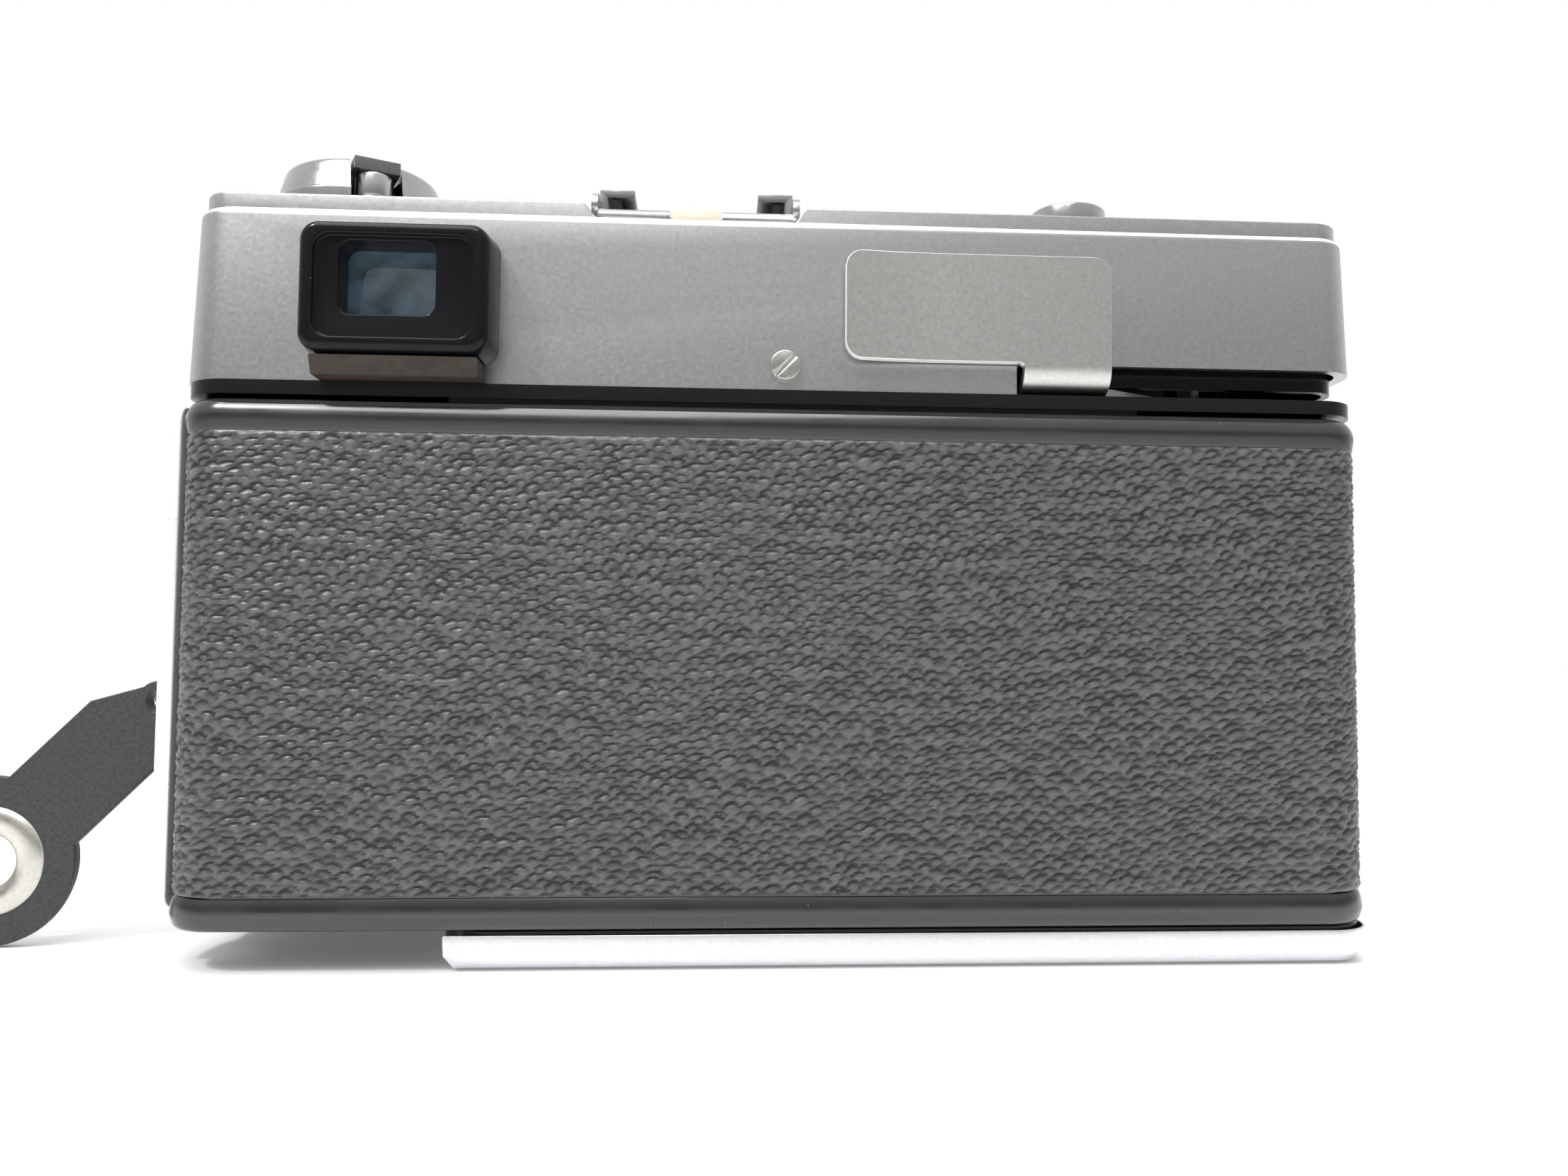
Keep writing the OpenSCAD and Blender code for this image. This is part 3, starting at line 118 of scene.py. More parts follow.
class CameraSizes(bpy.types.PropertyGroup):
    """Small sizes of the visible forms"""

    edge_round: bpy.props.FloatProperty(
        name="Edge rounding",
        description="Radius of the rounding on the knob's, base plate's and eyepiece skirt's edges",
        default=0.12 * MM,
        unit="LENGTH",
    )
    cover_round: bpy.props.FloatProperty(
        name="Cover rounding",
        description="Radius of the rounding on the top cover's upper edge",
        default=0.95 * MM,
        unit="LENGTH",
    )
    platform_round: bpy.props.FloatProperty(
        name="Platform rounding",
        description="Radius of the rounding on the raised platforms' upper edges",
        default=0.85 * MM,
        unit="LENGTH",
    )
    lever_bow: bpy.props.FloatProperty(
        name="Lever bow",
        description="How far the wind lever's free end bows out to the back",
        default=0.75 * MM,
        unit="LENGTH",
    )
    grain_depth: bpy.props.FloatProperty(
        name="Grain depth",
        description="Depth of the leatherette's wrinkles",
        default=0.45 * MM,
        unit="LENGTH",
    )
    grain_size: bpy.props.FloatProperty(
        name="Grain size",
        description="Distance between the leatherette's wrinkles",
        default=1.5 * MM,
        unit="LENGTH",
    )


class CameraColours(bpy.types.PropertyGroup):
    """Colours of the main finishes"""

    chrome: bpy.props.FloatVectorProperty(
        name="Satin chrome",
        description="Colour of the top cover's satin chrome",
        subtype="COLOR",
        default=(0.49, 0.503, 0.494),
    )
    leatherette: bpy.props.FloatVectorProperty(
        name="Leatherette",
        description="Colour of the grained covering",
        subtype="COLOR",
        default=(0.105, 0.112, 0.108),
    )
    enamel: bpy.props.FloatVectorProperty(
        name="Black enamel",
        description="Colour of the back door's painted metal",
        subtype="COLOR",
        default=(0.014, 0.0145, 0.015),
    )
    strap: bpy.props.FloatVectorProperty(
        name="Strap leather",
        description="Colour of the strap's worn leather",
        subtype="COLOR",
        default=(0.034, 0.036, 0.037),
    )


def sizes():
    """The scene's camera sizes."""
    return bpy.context.scene.camera_sizes


def colours():
    """The scene's camera colours."""
    return bpy.context.scene.camera_colours


# ---- Finishes ----


class Finish:
    """A material with its shader and short ways to add procedural detail."""

    def __init__(self, name, colour, metallic, roughness):
        self.material = bpy.data.materials.new(name)
        self.material.use_nodes = True
        self.tree = self.material.node_tree
        self.shader = self.tree.nodes["Principled BSDF"]
        self.set("Base Color", (*colour[:3], 1))
        self.set("Metallic", metallic)
        self.set("Roughness", roughness)
        self.place = self.node("ShaderNodeTexCoord").outputs["Object"]
        self.height = None

    def set(self, socket, value):
        """Sets a constant on the shader's own socket."""
        self.shader.inputs[socket].default_value = value

    def node(self, kind, **inputs):
        """Adds a node with values for some of its inputs."""
        new = self.tree.nodes.new(kind)
        for key, value in inputs.items():
            new.inputs[key.replace("_", " ")].default_value = value
        return new

    def link(self, a, b):
        """Joins an output to an input."""
        self.tree.links.new(a, b)

    def stretched(self, scale):
        """Object coordinates, stretched by a factor along each axis."""
        mapping = self.node("ShaderNodeMapping")
        mapping.inputs["Scale"].default_value = scale
        self.link(self.place, mapping.inputs["Vector"])
        return mapping.outputs["Vector"]

    def noise(self, scale, detail=3, stretch=None):
        """A noise of that scale per metre."""
        noise = self.node("ShaderNodeTexNoise", Scale=scale, Detail=detail)
        self.link(self.stretched(stretch) if stretch else self.place, noise.inputs["Vector"])
        return noise.outputs["Fac"]

    def ranged(self, value, low, high, start, end):
        """A value brought from start and end to low and high."""
        node = self.node("ShaderNodeMapRange")
        node.inputs["From Min"].default_value = start
        node.inputs["From Max"].default_value = end
        node.inputs["To Min"].default_value = low
        node.inputs["To Max"].default_value = high
        self.link(value, node.inputs["Value"])
        return node.outputs["Result"]

    def vary_roughness(self, value, low, high, start=0.3, end=0.7):
        """Roughness that follows a pattern."""
        self.link(self.ranged(value, low, high, start, end), self.shader.inputs["Roughness"])

    def vary_colour(self, value, first, second, start=0.3, end=0.7):
        """Colour that follows a pattern, from first to second."""
        ramp = self.node("ShaderNodeValToRGB")
        ramp.color_ramp.elements[0].position = start
        ramp.color_ramp.elements[0].color = (*first[:3], 1)
        ramp.color_ramp.elements[1].position = end
        ramp.color_ramp.elements[1].color = (*second[:3], 1)
        self.link(value, ramp.inputs["Fac"])
        self.link(ramp.outputs["Color"], self.shader.inputs["Base Color"])

    def wear(self, scale, low, high):
        """Roughness that wanders between two values over a noise of that scale."""
        self.vary_roughness(self.noise(scale), low, high)

    def mottle(self, scale, first, second, start=0.3, end=0.7):
        """Colour that wanders between two colours over a noise of that scale."""
        self.vary_colour(self.noise(scale), first, second, start, end)

    def bump(self, value, strength, depth):
        """Raises the surface by a pattern, up to depth metres."""
        bump = self.node("ShaderNodeBump", Strength=strength, Distance=depth)
        self.link(value, bump.inputs["Height"])
        if self.height:
            self.link(self.height, bump.inputs["Normal"])
        self.height = bump.outputs["Normal"]
        self.link(self.height, self.shader.inputs["Normal"])

    def show(self, surface):
        """Shows another surface in place of the plain shader."""
        self.link(surface, self.tree.nodes["Material Output"].inputs["Surface"])


def seen_rays(tree, *kinds):
    """1 for rays of any of those kinds, such as Is Camera Ray, and 0 for others."""
    path = tree.nodes.new("ShaderNodeLightPath")
    value = path.outputs[kinds[0]]
    for kind in kinds[1:]:
        either = tree.nodes.new("ShaderNodeMath")
        either.operation = "MAXIMUM"
        tree.links.new(value, either.inputs[0])
        tree.links.new(path.outputs[kind], either.inputs[1])
        value = either.outputs[0]
    return value


def mixed(tree, share, first, second):
    """A surface that goes from the first node's to the second node's as a share goes from 0 to 1."""
    mix = tree.nodes.new("ShaderNodeMixShader")
    tree.links.new(share, mix.inputs["Fac"])
    tree.links.new(first.outputs[0], mix.inputs[1])
    tree.links.new(second.outputs[0], mix.inputs[2])
    return mix.outputs[0]


def tinted(colour, factor):
    """A colour made lighter or darker by a factor."""
    return tuple(channel * factor for channel in colour[:3])


def satin_chrome():
    """Fine satin chrome, bead-blasted and then plated."""
    colour = colours().chrome
    finish = Finish("satin_chrome", colour, 1.0, 0.34)
    finish.wear(2200, 0.31, 0.37)
    finish.mottle(2400, tinted(colour, 0.92), tinted(colour, 1.06))
    finish.bump(finish.noise(14000, 2), 0.25, 0.004 * MM)
    return finish.material


def bright_chrome():
    """Polished chrome with faint handling marks."""
    finish = Finish("bright_chrome", (0.72, 0.73, 0.73), 1.0, 0.12)
    finish.wear(1400, 0.09, 0.13)
    finish.bump(finish.noise(500, 1), 0.05, 0.004 * MM)
    return finish.material


def dull_chrome():
    """Chrome of the shoe and the rewind knob, a little dulled."""
    finish = Finish("dull_chrome", (0.43, 0.44, 0.43), 1.0, 0.18)
    finish.wear(1400, 0.15, 0.22)
    finish.bump(finish.noise(500, 1), 0.05, 0.004 * MM)
    return finish.material


def lever_satin():
    """Satin steel of the wind lever, a little warm, with a fine blasted grain."""
    colour = (0.575, 0.572, 0.555)
    finish = Finish("lever_satin", colour, 1.0, 0.36)
    finish.wear(2200, 0.34, 0.4)
    finish.mottle(2600, tinted(colour, 0.93), tinted(colour, 1.06))
    finish.bump(finish.noise(9000), 0.3, 0.006 * MM)
    return finish.material


def painted_highlight_white():
    """Near-white finish that paints the highlight on satin parts' edges, and the door latch's painted
    reflection of the white room.
    """
    finish = Finish("painted_highlight_white", (0.93, 0.93, 0.92), 0.35, 0.3)
    finish.wear(900, 0.26, 0.36)
    return finish.material


def foot_metal():
    """Bright satin metal of the base plate, with fine wear."""
    finish = Finish("foot_metal", (0.82, 0.83, 0.85), 1.0, 0.3)
    finish.wear(500, 0.28, 0.33)
    finish.mottle(1800, (0.79, 0.8, 0.82), (0.85, 0.86, 0.88))
    finish.bump(finish.noise(9000, 2), 0.15, 0.004 * MM)
    return finish.material


def black_enamel():
    """Black enamel on metal, smooth and a little wavy, with dust specks."""
    colour = colours().enamel
    finish = Finish("black_enamel", tinted(colour, 0.6), 0.0, 0.22)
    finish.set("IOR", 1.32)
    finish.wear(500, 0.2, 0.26)
    finish.mottle(3000, tinted(colour, 0.6), (0.2, 0.2, 0.19), 0.76, 0.82)
    finish.bump(finish.noise(500, 1), 0.06, 0.006 * MM)
    return finish.material


def gloss_black():
    """Glossy black moulding of the eyepiece."""
    finish = Finish("gloss_black", (0.006, 0.006, 0.007), 0.0, 0.14)
    finish.set("IOR", 1.28)
    finish.wear(500, 0.1, 0.18)
    finish.mottle(3200, (0.006, 0.006, 0.007), (0.2, 0.2, 0.19), 0.74, 0.8)
    finish.bump(finish.noise(900), 0.1, 0.01 * MM)
    return finish.material


def matt_brown():
    """Dull dark brown of the skirt under the eyepiece."""
    finish = Finish("matt_brown", (0.045, 0.036, 0.029), 0.0, 0.6)
    finish.set("IOR", 1.3)
    finish.vary_colour(finish.noise(900, 4), (0.035, 0.028, 0.023), (0.055, 0.044, 0.036))
    finish.bump(finish.noise(5000), 0.3, 0.02 * MM)
    return finish.material


def blackened():
    """Blackened or anodised metal of the inner and lens pieces."""
    finish = Finish("black_steel", (0.02, 0.02, 0.021), 0.3, 0.45)
    finish.wear(600, 0.39, 0.51)
    finish.mottle(2500, (0.016, 0.016, 0.017), (0.028, 0.028, 0.029))
    finish.bump(finish.noise(9000, 2), 0.08, 0.004 * MM)
    return finish.material


def anodised():
    """Satin anodised aluminium of the lens rings, turned on a lathe."""
    colour = (0.6, 0.605, 0.61)
    finish = Finish("anodised", colour, 1.0, 0.3)
    lines = finish.noise(2600, 3, (0.03, 1, 0.03))
    finish.vary_roughness(lines, 0.25, 0.38)
    finish.vary_colour(finish.noise(300, 4), tinted(colour, 0.93), tinted(colour, 1.04))
    finish.bump(lines, 0.04, 0.001 * MM)
    return finish.material


def brass():
    """Turned brass of the sockets and bearings."""
    colour = (0.55, 0.42, 0.2)
    finish = Finish("brass", colour, 1.0, 0.3)
    finish.vary_colour(finish.noise(700, 4), tinted(colour, 0.8), tinted(colour, 1.1))
    finish.vary_roughness(finish.noise(1200, 4), 0.22, 0.42)
    return finish.material


def bright_steel():
    """Spring steel and pins."""
    finish = Finish("bright_steel", (0.56, 0.565, 0.57), 1.0, 0.25)
    finish.vary_roughness(finish.noise(1200, 3, (1, 1, 0.1)), 0.2, 0.28)
    finish.bump(finish.noise(2000, 2), 0.05, 0.003 * MM)
    return finish.material


def screw_nickel():
    """Nickelled screw heads with a little tarnish."""
    finish = Finish("screw_nickel", (0.6, 0.61, 0.56), 1.0, 0.28)
    finish.mottle(700, (0.55, 0.55, 0.5), (0.66, 0.67, 0.63))
    finish.wear(1200, 0.24, 0.34)
    return finish.material


def ivory():
    """Ivory insulator of the accessory shoe."""
    finish = Finish("ivory", (0.8, 0.74, 0.6), 0.0, 0.45)
    finish.set("Subsurface Weight", 0.1)
    finish.set("Subsurface Scale", 0.3 * MM)
    finish.vary_colour(finish.noise(800, 4), (0.72, 0.66, 0.52), (0.84, 0.79, 0.66))
    return finish.material


def coated_glass():
    """Clear glass with a few faint smears."""
    finish = Finish("coated_glass", (0.96, 0.965, 0.98), 0.0, 0.01)
    finish.set("Transmission Weight", 1.0)
    finish.set("IOR", 1.5)
    finish.vary_roughness(finish.noise(300, 2), 0.0, 0.02, 0.5, 0.8)
    clear = finish.node("ShaderNodeBsdfTransparent")
    passing = seen_rays(finish.tree, "Is Shadow Ray", "Is Diffuse Ray")
    finish.show(mixed(finish.tree, passing, finish.shader, clear))
    return finish.material


def frosted_glass():
    """Ribbed, milky glass of the bright-line window."""
    finish = Finish("frosted_glass", (0.8, 0.82, 0.8), 0.0, 0.4)
    finish.set("Transmission Weight", 0.5)
    wave = finish.node("ShaderNodeTexWave", Scale=700)
    finish.link(finish.place, wave.inputs["Vector"])
    finish.bump(wave.outputs["Fac"], 0.6, 0.1 * MM)
    return finish.material


def silvered():
    """Silvered glass of the mirror."""
    finish = Finish("silvered", (0.85, 0.87, 0.88), 1.0, 0.03)
    finish.vary_roughness(finish.noise(1500, 5), 0.01, 0.06)
    return finish.material


def cell_glass():
    """Ribbed bluish window of the meter cell."""
    finish = Finish("cell_glass", (0.2, 0.24, 0.3), 0.0, 0.15)
    finish.set("Coat Weight", 0.6)
    finish.set("Coat Roughness", 0.05)
    ribs = finish.node("ShaderNodeTexWave", Scale=900)
    finish.link(finish.place, ribs.inputs["Vector"])
    finish.vary_colour(ribs.outputs["Fac"], (0.14, 0.17, 0.22), (0.26, 0.3, 0.36))
    finish.wear(1500, 0.12, 0.2)
    return finish.material


def door_enamel():
    """Worn black enamel of the back door, grey where light grazes it."""
    colour = colours().enamel
    finish = Finish("door_enamel", colour, 0.0, 0.3)
    finish.set("IOR", 1.75)
    finish.vary_roughness(finish.noise(260, 5), 0.16, 0.28)
    finish.mottle(2300, colour, (0.35, 0.35, 0.33), 0.74, 0.8)
    finish.bump(finish.noise(600), 0.15, 0.02 * MM)
    return finish.material


def leatherette():
    """Black wrinkled leatherette, with painted shade that darkens its folds well below its greyer
    plateaus.
    """
    colour = colours().leatherette
    finish = Finish("leatherette", colour, 0.0, 0.5)
    fold_height = finish.node("ShaderNodeAttribute")
    fold_height.attribute_name = "grain"
    # Painted shade: the grain height darkens the colour towards a tenth of it on the folds' floors.
    finish.vary_colour(fold_height.outputs["Fac"], tinted(colour, 0.1), colour, 0.42, 0.93)
    finish.vary_roughness(fold_height.outputs["Fac"], 0.45, 0.24, 0.3, 0.9)
    finish.bump(finish.noise(3400, 4, (0.55, 0.55, 1)), 0.6, 0.12 * MM)
    return finish.material


def strap_leather():
    """Grey-black leather with a fine grain and paler patches."""
    colour = colours().strap
    finish = Finish("strap_leather", colour, 0.0, 0.55)
    finish.vary_colour(finish.noise(2600, 4), tinted(colour, 0.6), tinted(colour, 1.35))
    finish.vary_roughness(finish.noise(1500, 4), 0.45, 0.65)
    cells = finish.node("ShaderNodeTexVoronoi", Scale=3400)
    finish.link(finish.stretched((1, 1, 0.5)), cells.inputs["Vector"])
    finish.bump(cells.outputs["Distance"], 0.6, 0.05 * MM)
    finish.bump(finish.noise(5000), 0.3, 0.03 * MM)
    return finish.material


def grommet_metal():
    """Warm silver of the worn grommet."""
    colour = (0.62, 0.6, 0.55)
    finish = Finish("grommet_metal", colour, 1.0, 0.32)
    finish.mottle(2600, tinted(colour, 0.92), tinted(colour, 1.06))
    finish.wear(1400, 0.28, 0.36)
    finish.bump(finish.noise(4500, 2), 0.08, 0.004 * MM)
    return finish.material


def button_blue():
    """Dark blue-green steel of the shutter button."""
    finish = Finish("button_blue", (0.06, 0.09, 0.1), 0.6, 0.25)
    finish.vary_roughness(finish.noise(900, 4), 0.2, 0.35)
    finish.vary_colour(finish.noise(700, 4), (0.05, 0.075, 0.085), (0.08, 0.11, 0.12))
    return finish.material


def crank_steel():
    """Dark grey steel of the folding crank."""
    finish = Finish("crank_steel", (0.2, 0.205, 0.2), 0.9, 0.3)
    finish.wear(1200, 0.27, 0.33)
    finish.mottle(1500, (0.17, 0.175, 0.17), (0.21, 0.215, 0.21))
    return finish.material


def eyepiece_glass():
    """Dark bluish glass of the eyepiece, with lighter streaks of painted reflection on it."""
    finish = Finish("eyepiece_glass", (0.05, 0.085, 0.115), 0.0, 0.06)
    finish.set("Coat Weight", 0.8)
    finish.set("Coat Roughness", 0.03)
    painted_reflection = finish.noise(190, 3, (1, 1, 1.4))
    # Painted reflection: a stretched noise lightens the glass in bluish streaks.
    finish.vary_colour(painted_reflection, (0.025, 0.045, 0.055), (0.14, 0.2, 0.27), 0.38, 0.78)
    finish.vary_roughness(finish.noise(3000, 4), 0.04, 0.2, 0.5, 0.8)
    return finish.material


INNER_FINISHES = {
    "black_casting": black_enamel,
    "bright_chrome": bright_chrome,
    "black_plastic": gloss_black,
    "coated_glass": coated_glass,
    "frosted_glass": frosted_glass,
    "mirror_glass": silvered,
    "brass_part": brass,
    "spring_steel": bright_steel,
    "black_steel": blackened,
    "lens_black": blackened,
    "lens_silver": anodised,
    "meter_glass": cell_glass,
}
MADE = {}


def finish_for(maker):
    """The material that a finish function makes, made once."""
    if maker not in MADE:
        MADE[maker] = maker()
    return MADE[maker]


def coat(piece, maker):
    """Gives a piece one finish all over."""
    piece.data.materials.clear()
    piece.data.materials.append(finish_for(maker))


def paint_highlight(piece, test):
    """Gives the faces of a piece for which test is true the near-white painted highlight finish."""
    piece.data.materials.append(finish_for(painted_highlight_white))
    for face in piece.data.polygons:
        if test(face):
            face.material_index = 1


# ---- Modelling steps that several pieces share ----


def clear_selection():
    """Leaves edit mode and deselects every object."""
    if bpy.context.object and bpy.context.object.mode != "OBJECT":
        bpy.ops.object.mode_set(mode="OBJECT")
    bpy.ops.object.select_all(action="DESELECT")


def choose(piece):
    """Makes a piece the only selected one, in object mode."""
    clear_selection()
    piece.select_set(True)
    bpy.context.view_layer.objects.active = piece


def named(name):
    """The piece just added, with its place put in its mesh and its name set."""
    bpy.ops.object.mode_set(mode="OBJECT")
    bpy.ops.object.transform_apply(location=True, rotation=True, scale=True)
    piece = bpy.context.object
    piece.name = name
    piece.data.name = name
    return piece


def block(name, low, high):
    """A box between two corners."""
    clear_selection()
    middle_point = [(a + b) / 2 for a, b in zip(low, high)]
    bpy.ops.mesh.primitive_cube_add(size=1, location=middle_point)
    bpy.ops.transform.resize(value=[b - a for a, b in zip(low, high)])
    return named(name)


def draw(name, points):
    """A closed outline through the points, drawn by extruding one vertex."""
    clear_selection()
    bpy.ops.mesh.primitive_plane_add(size=MM, location=points[0])
    bpy.ops.object.mode_set(mode="EDIT")
    bpy.ops.mesh.select_mode(type="VERT")
    bpy.ops.mesh.select_all(action="SELECT")
    bpy.ops.mesh.merge(type="CENTER")
    for a, b in zip(points, list(points[1:]) + [points[0]]):
        step = [q - p for p, q in zip(a, b)]
        bpy.ops.mesh.extrude_region_move(TRANSFORM_OT_translate={"value": step})
    bpy.ops.mesh.select_all(action="SELECT")
    bpy.ops.mesh.remove_doubles(threshold=0.0005 * MM)
    return named(name)


def edit_all(piece):
    """Opens a piece in edit mode with all of its mesh selected."""
    choose(piece)
    bpy.ops.object.mode_set(mode="EDIT")
    bpy.ops.mesh.select_all(action="SELECT")


def tidy(piece):
    """Merges doubled vertices and turns every face outwards."""
    edit_all(piece)
    bpy.ops.mesh.remove_doubles(threshold=0.001 * MM)
    bpy.ops.mesh.normals_make_consistent(inside=False)
    bpy.ops.object.mode_set(mode="OBJECT")
    return piece


def slab(name, points, depth):
    """A plate: the outline through the points, filled and pulled out by a vector."""
    piece = draw(name, points)
    edit_all(piece)
    bpy.ops.mesh.edge_face_add()
    bpy.ops.mesh.extrude_region_move(TRANSFORM_OT_translate={"value": depth})
    return tidy(piece)


def turned(name, points, centre, axis, steps=96):
    """A turned piece: points of (radius, place along the axis) spun about a line."""
    axis = Vector(axis)
    out = Vector((0, 0, 1)) if abs(axis.z) < 0.5 else Vector((1, 0, 0))
    piece = draw(name, [Vector(centre) + out * r + axis * along for r, along in points])
    edit_all(piece)
    bpy.ops.mesh.spin(steps=steps, angle=math.tau, center=centre, axis=axis)
    return tidy(piece)


def arc(centre, radius, start, end, steps=6):
    """Points on an arc from one angle to another, in degrees."""
    angles = [math.radians(start + (end - start) * i / steps) for i in range(steps + 1)]
    return [(centre[0] + radius * math.cos(a), centre[1] + radius * math.sin(a)) for a in angles]


def wrap(name, section, half, back, radius, right_end, left_end, steps=10):
    """A strip of one section, as (outward, height) points, that runs round the body's back."""
    piece = draw(name, [(half + out, right_end, z) for out, z in section])
    edit_all(piece)
    bpy.ops.mesh.edge_face_add()
    turn_y = back + radius
    for move, centre in (
        ((0, turn_y - right_end, 0), (half - radius, turn_y, 0)),
        ((2 * (radius - half), 0, 0), (radius - half, turn_y, 0)),
        ((0, left_end - turn_y, 0), None),
    ):
        bpy.ops.mesh.extrude_region_move(TRANSFORM_OT_translate={"value": move})
        if centre:
            bpy.ops.mesh.spin(steps=steps, angle=math.pi / 2, center=centre, axis=(0, 0, 1))
    return tidy(piece)


def rounded(low, high, radius, steps=6):
    """Outline points of a rectangle with round corners, from two corners."""
    (x0, y0), (x1, y1) = low, high
    points = []
    for cx, cy, start in (
        (x1 - radius, y1 - radius, 0), (x0 + radius, y1 - radius, 90),
        (x0 + radius, y0 + radius, 180), (x1 - radius, y0 + radius, 270),
    ):
        points += arc((cx, cy), radius, start, start + 90, steps)
    return points


def standing(points, y):
    """Outline points (x, z) put on a plane that faces back."""
    return [(x, y, z) for x, z in points]


def pane(name, node, margin, y0, y1, radius=0.8 * MM, steps=6):
    """A plate with round corners, of a CAD node's width and height and a margin all round."""
    low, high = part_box(node)
    corners = (low[0] - margin, low[2] - margin), (high[0] + margin, high[2] + margin)
    return slab(name, standing(rounded(*corners, radius, steps), y0), (0, y1 - y0, 0))


def lying(points, z):
    """Outline points (x, y) put on a level plane."""
    return [(x, y, z) for x, y in points]


def rod(name, a, b, radius, steps=48):
    """A round bar between two points."""
    a, b = Vector(a), Vector(b)
    return turned(name, [(0, 0), (radius, 0), (radius, (b - a).length), (0, (b - a).length)],
                  a, (b - a).normalized(), steps)


def pick(piece, kind, test):
    """Selects the vertices, edges or faces of a piece for which test is true, in edit mode."""
    choose(piece)
    bpy.ops.object.mode_set(mode="EDIT")
    bpy.ops.mesh.select_mode(type=kind)
    bpy.ops.mesh.select_all(action="DESELECT")
    mesh = bmesh.from_edit_mesh(piece.data)
    mesh.normal_update()
    parts = {"VERT": mesh.verts, "EDGE": mesh.edges, "FACE": mesh.faces}[kind]
    for part in [p for p in parts if test(p)]:
        part.select_set(True)
    mesh.select_flush_mode()
    bmesh.update_edit_mesh(piece.data)


def sharp(edge):
    """Tells whether an edge's two faces meet at more than 40 degrees."""
    return edge.is_manifold and edge.calc_face_angle(0) > math.radians(40)


def upright(edge):
    """Tells whether an edge stands upright."""
    a, b = edge.verts[0].co, edge.verts[1].co
    return abs(a.x - b.x) + abs(a.y - b.y) < 0.001 * MM and abs(a.z - b.z) > 0.1 * MM


def edge_at(edge, axis, place):
    """Tells whether both ends of an edge lie at a place along an axis."""
    return all(abs(v.co[axis] - place) < 0.01 * MM for v in edge.verts)


def edge_above(edge, height):
    """Tells whether both ends of an edge lie above a height."""
    return min(v.co.z for v in edge.verts) > height


def round_edges(piece, test, radius, segments=3):
    """Rounds the edges of a piece for which test is true."""
    pick(piece, "EDGE", test)
    bpy.ops.mesh.bevel(offset=radius, segments=segments, affect="EDGES", clamp_overlap=True)
    bpy.ops.object.mode_set(mode="OBJECT")
    return piece


def modify(piece, kind, **settings):
    """Adds a modifier with its settings and applies it."""
    choose(piece)
    modifier = piece.modifiers.new(kind.title(), kind)
    for key, value in settings.items():
        setattr(modifier, key, value)
    bpy.ops.object.modifier_apply(modifier=modifier.name)
    return piece


def soften(piece, radius, segments=2, angle=35):
    """Rounds all sharp edges of a piece a little."""
    return modify(
        piece, "BEVEL", width=radius, segments=segments, limit_method="ANGLE",
        angle_limit=math.radians(angle), miter_outer="MITER_ARC",
    )


def combine(piece, operation, tools):
    """Applies a boolean with each tool to a piece, and deletes the tools."""
    for tool in tools:
        modify(piece, "BOOLEAN", object=tool, operation=operation, solver="EXACT")
        bpy.data.objects.remove(tool)
    return piece


def cut(piece, *tools):
    """Cuts tools out of a piece."""
    return combine(piece, "DIFFERENCE", tools)


def unite(piece, *tools):
    """Makes one closed body of a piece and tools that meet it."""
    return combine(piece, "UNION", tools)


def merge_near(piece, distance):
    """Merges the vertices of a piece that lie nearer together than a distance."""
    edit_all(piece)
    bpy.ops.mesh.remove_doubles(threshold=distance)
    bpy.ops.object.mode_set(mode="OBJECT")
    return piece


def join(piece, *others):
    """Puts other pieces' meshes into a piece."""
    choose(piece)
    for other in others:
        other.select_set(True)
    bpy.ops.object.join()
    return piece


def smooth(piece, angle):
    """Smooth shading, with edges sharper than an angle kept."""
    choose(piece)
    bpy.ops.object.shade_smooth_by_angle(angle=math.radians(angle))
    return piece


def dress(piece, maker, node):
    """Gives a piece its finish, lets it ride with the CAD node's body and stand for that node."""
    coat(piece, maker)
    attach(piece, BODY_OF[node])
    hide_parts(node)
    return piece


def copy_of(node, name):
    """A copy of a CAD node's mesh with its loose triangles merged and flat faces joined."""
    source = frame["nodes"][node]
    clear_selection()
    piece = source.copy()
    piece.data = source.data.copy()
    bpy.context.collection.objects.link(piece)
    piece.parent = None
    piece.matrix_world = Matrix.Identity(4)
    piece.name = name
    piece.data.name = name
    for key in list(piece.keys()):
        del piece[key]
    tidy(piece)
    edit_all(piece)
    bpy.ops.mesh.dissolve_limited(angle_limit=math.radians(0.5))
    bpy.ops.object.mode_set(mode="OBJECT")
    return piece


def refine(node, name, maker, radius, segments=2, angle=35):
    """A piece made from a CAD node by rounding its edges."""
    piece = soften(copy_of(node, name), radius, segments, angle)
    return dress(smooth(piece, 40), maker, node)


# ---- Stage ----


class STAGE_OT_floor_and_light(bpy.types.Operator):
    """Adds the camera, the pale floor and the soft lights"""

    bl_idname = "camera_maker.stage"
    bl_label = "Stage"

    def execute(self, context):
        make_camera()
        make_floor()
        make_room()
        make_lamps()
        context.scene.view_settings.view_transform = "Standard"
        return {"FINISHED"}


def make_camera():
    """A camera close behind the back door, looking a little up and to the right."""
    clear_selection()
    bpy.ops.object.camera_add()
    camera = bpy.context.object
    camera.data.sensor_width = 36
    camera.data.lens = 27.02
    camera.data.clip_start = 0.005
    camera.data.clip_end = 50
    pose = Matrix.Translation((-7.35 * MM, -136 * MM, 32 * MM))
    for degrees, axis in ((-3.39, "Z"), (3.06, "X"), (-0.41, "Y"), (90, "X")):
        pose = pose @ Matrix.Rotation(math.radians(degrees), 4, axis)
    camera.matrix_world = pose
    bpy.context.scene.camera = camera


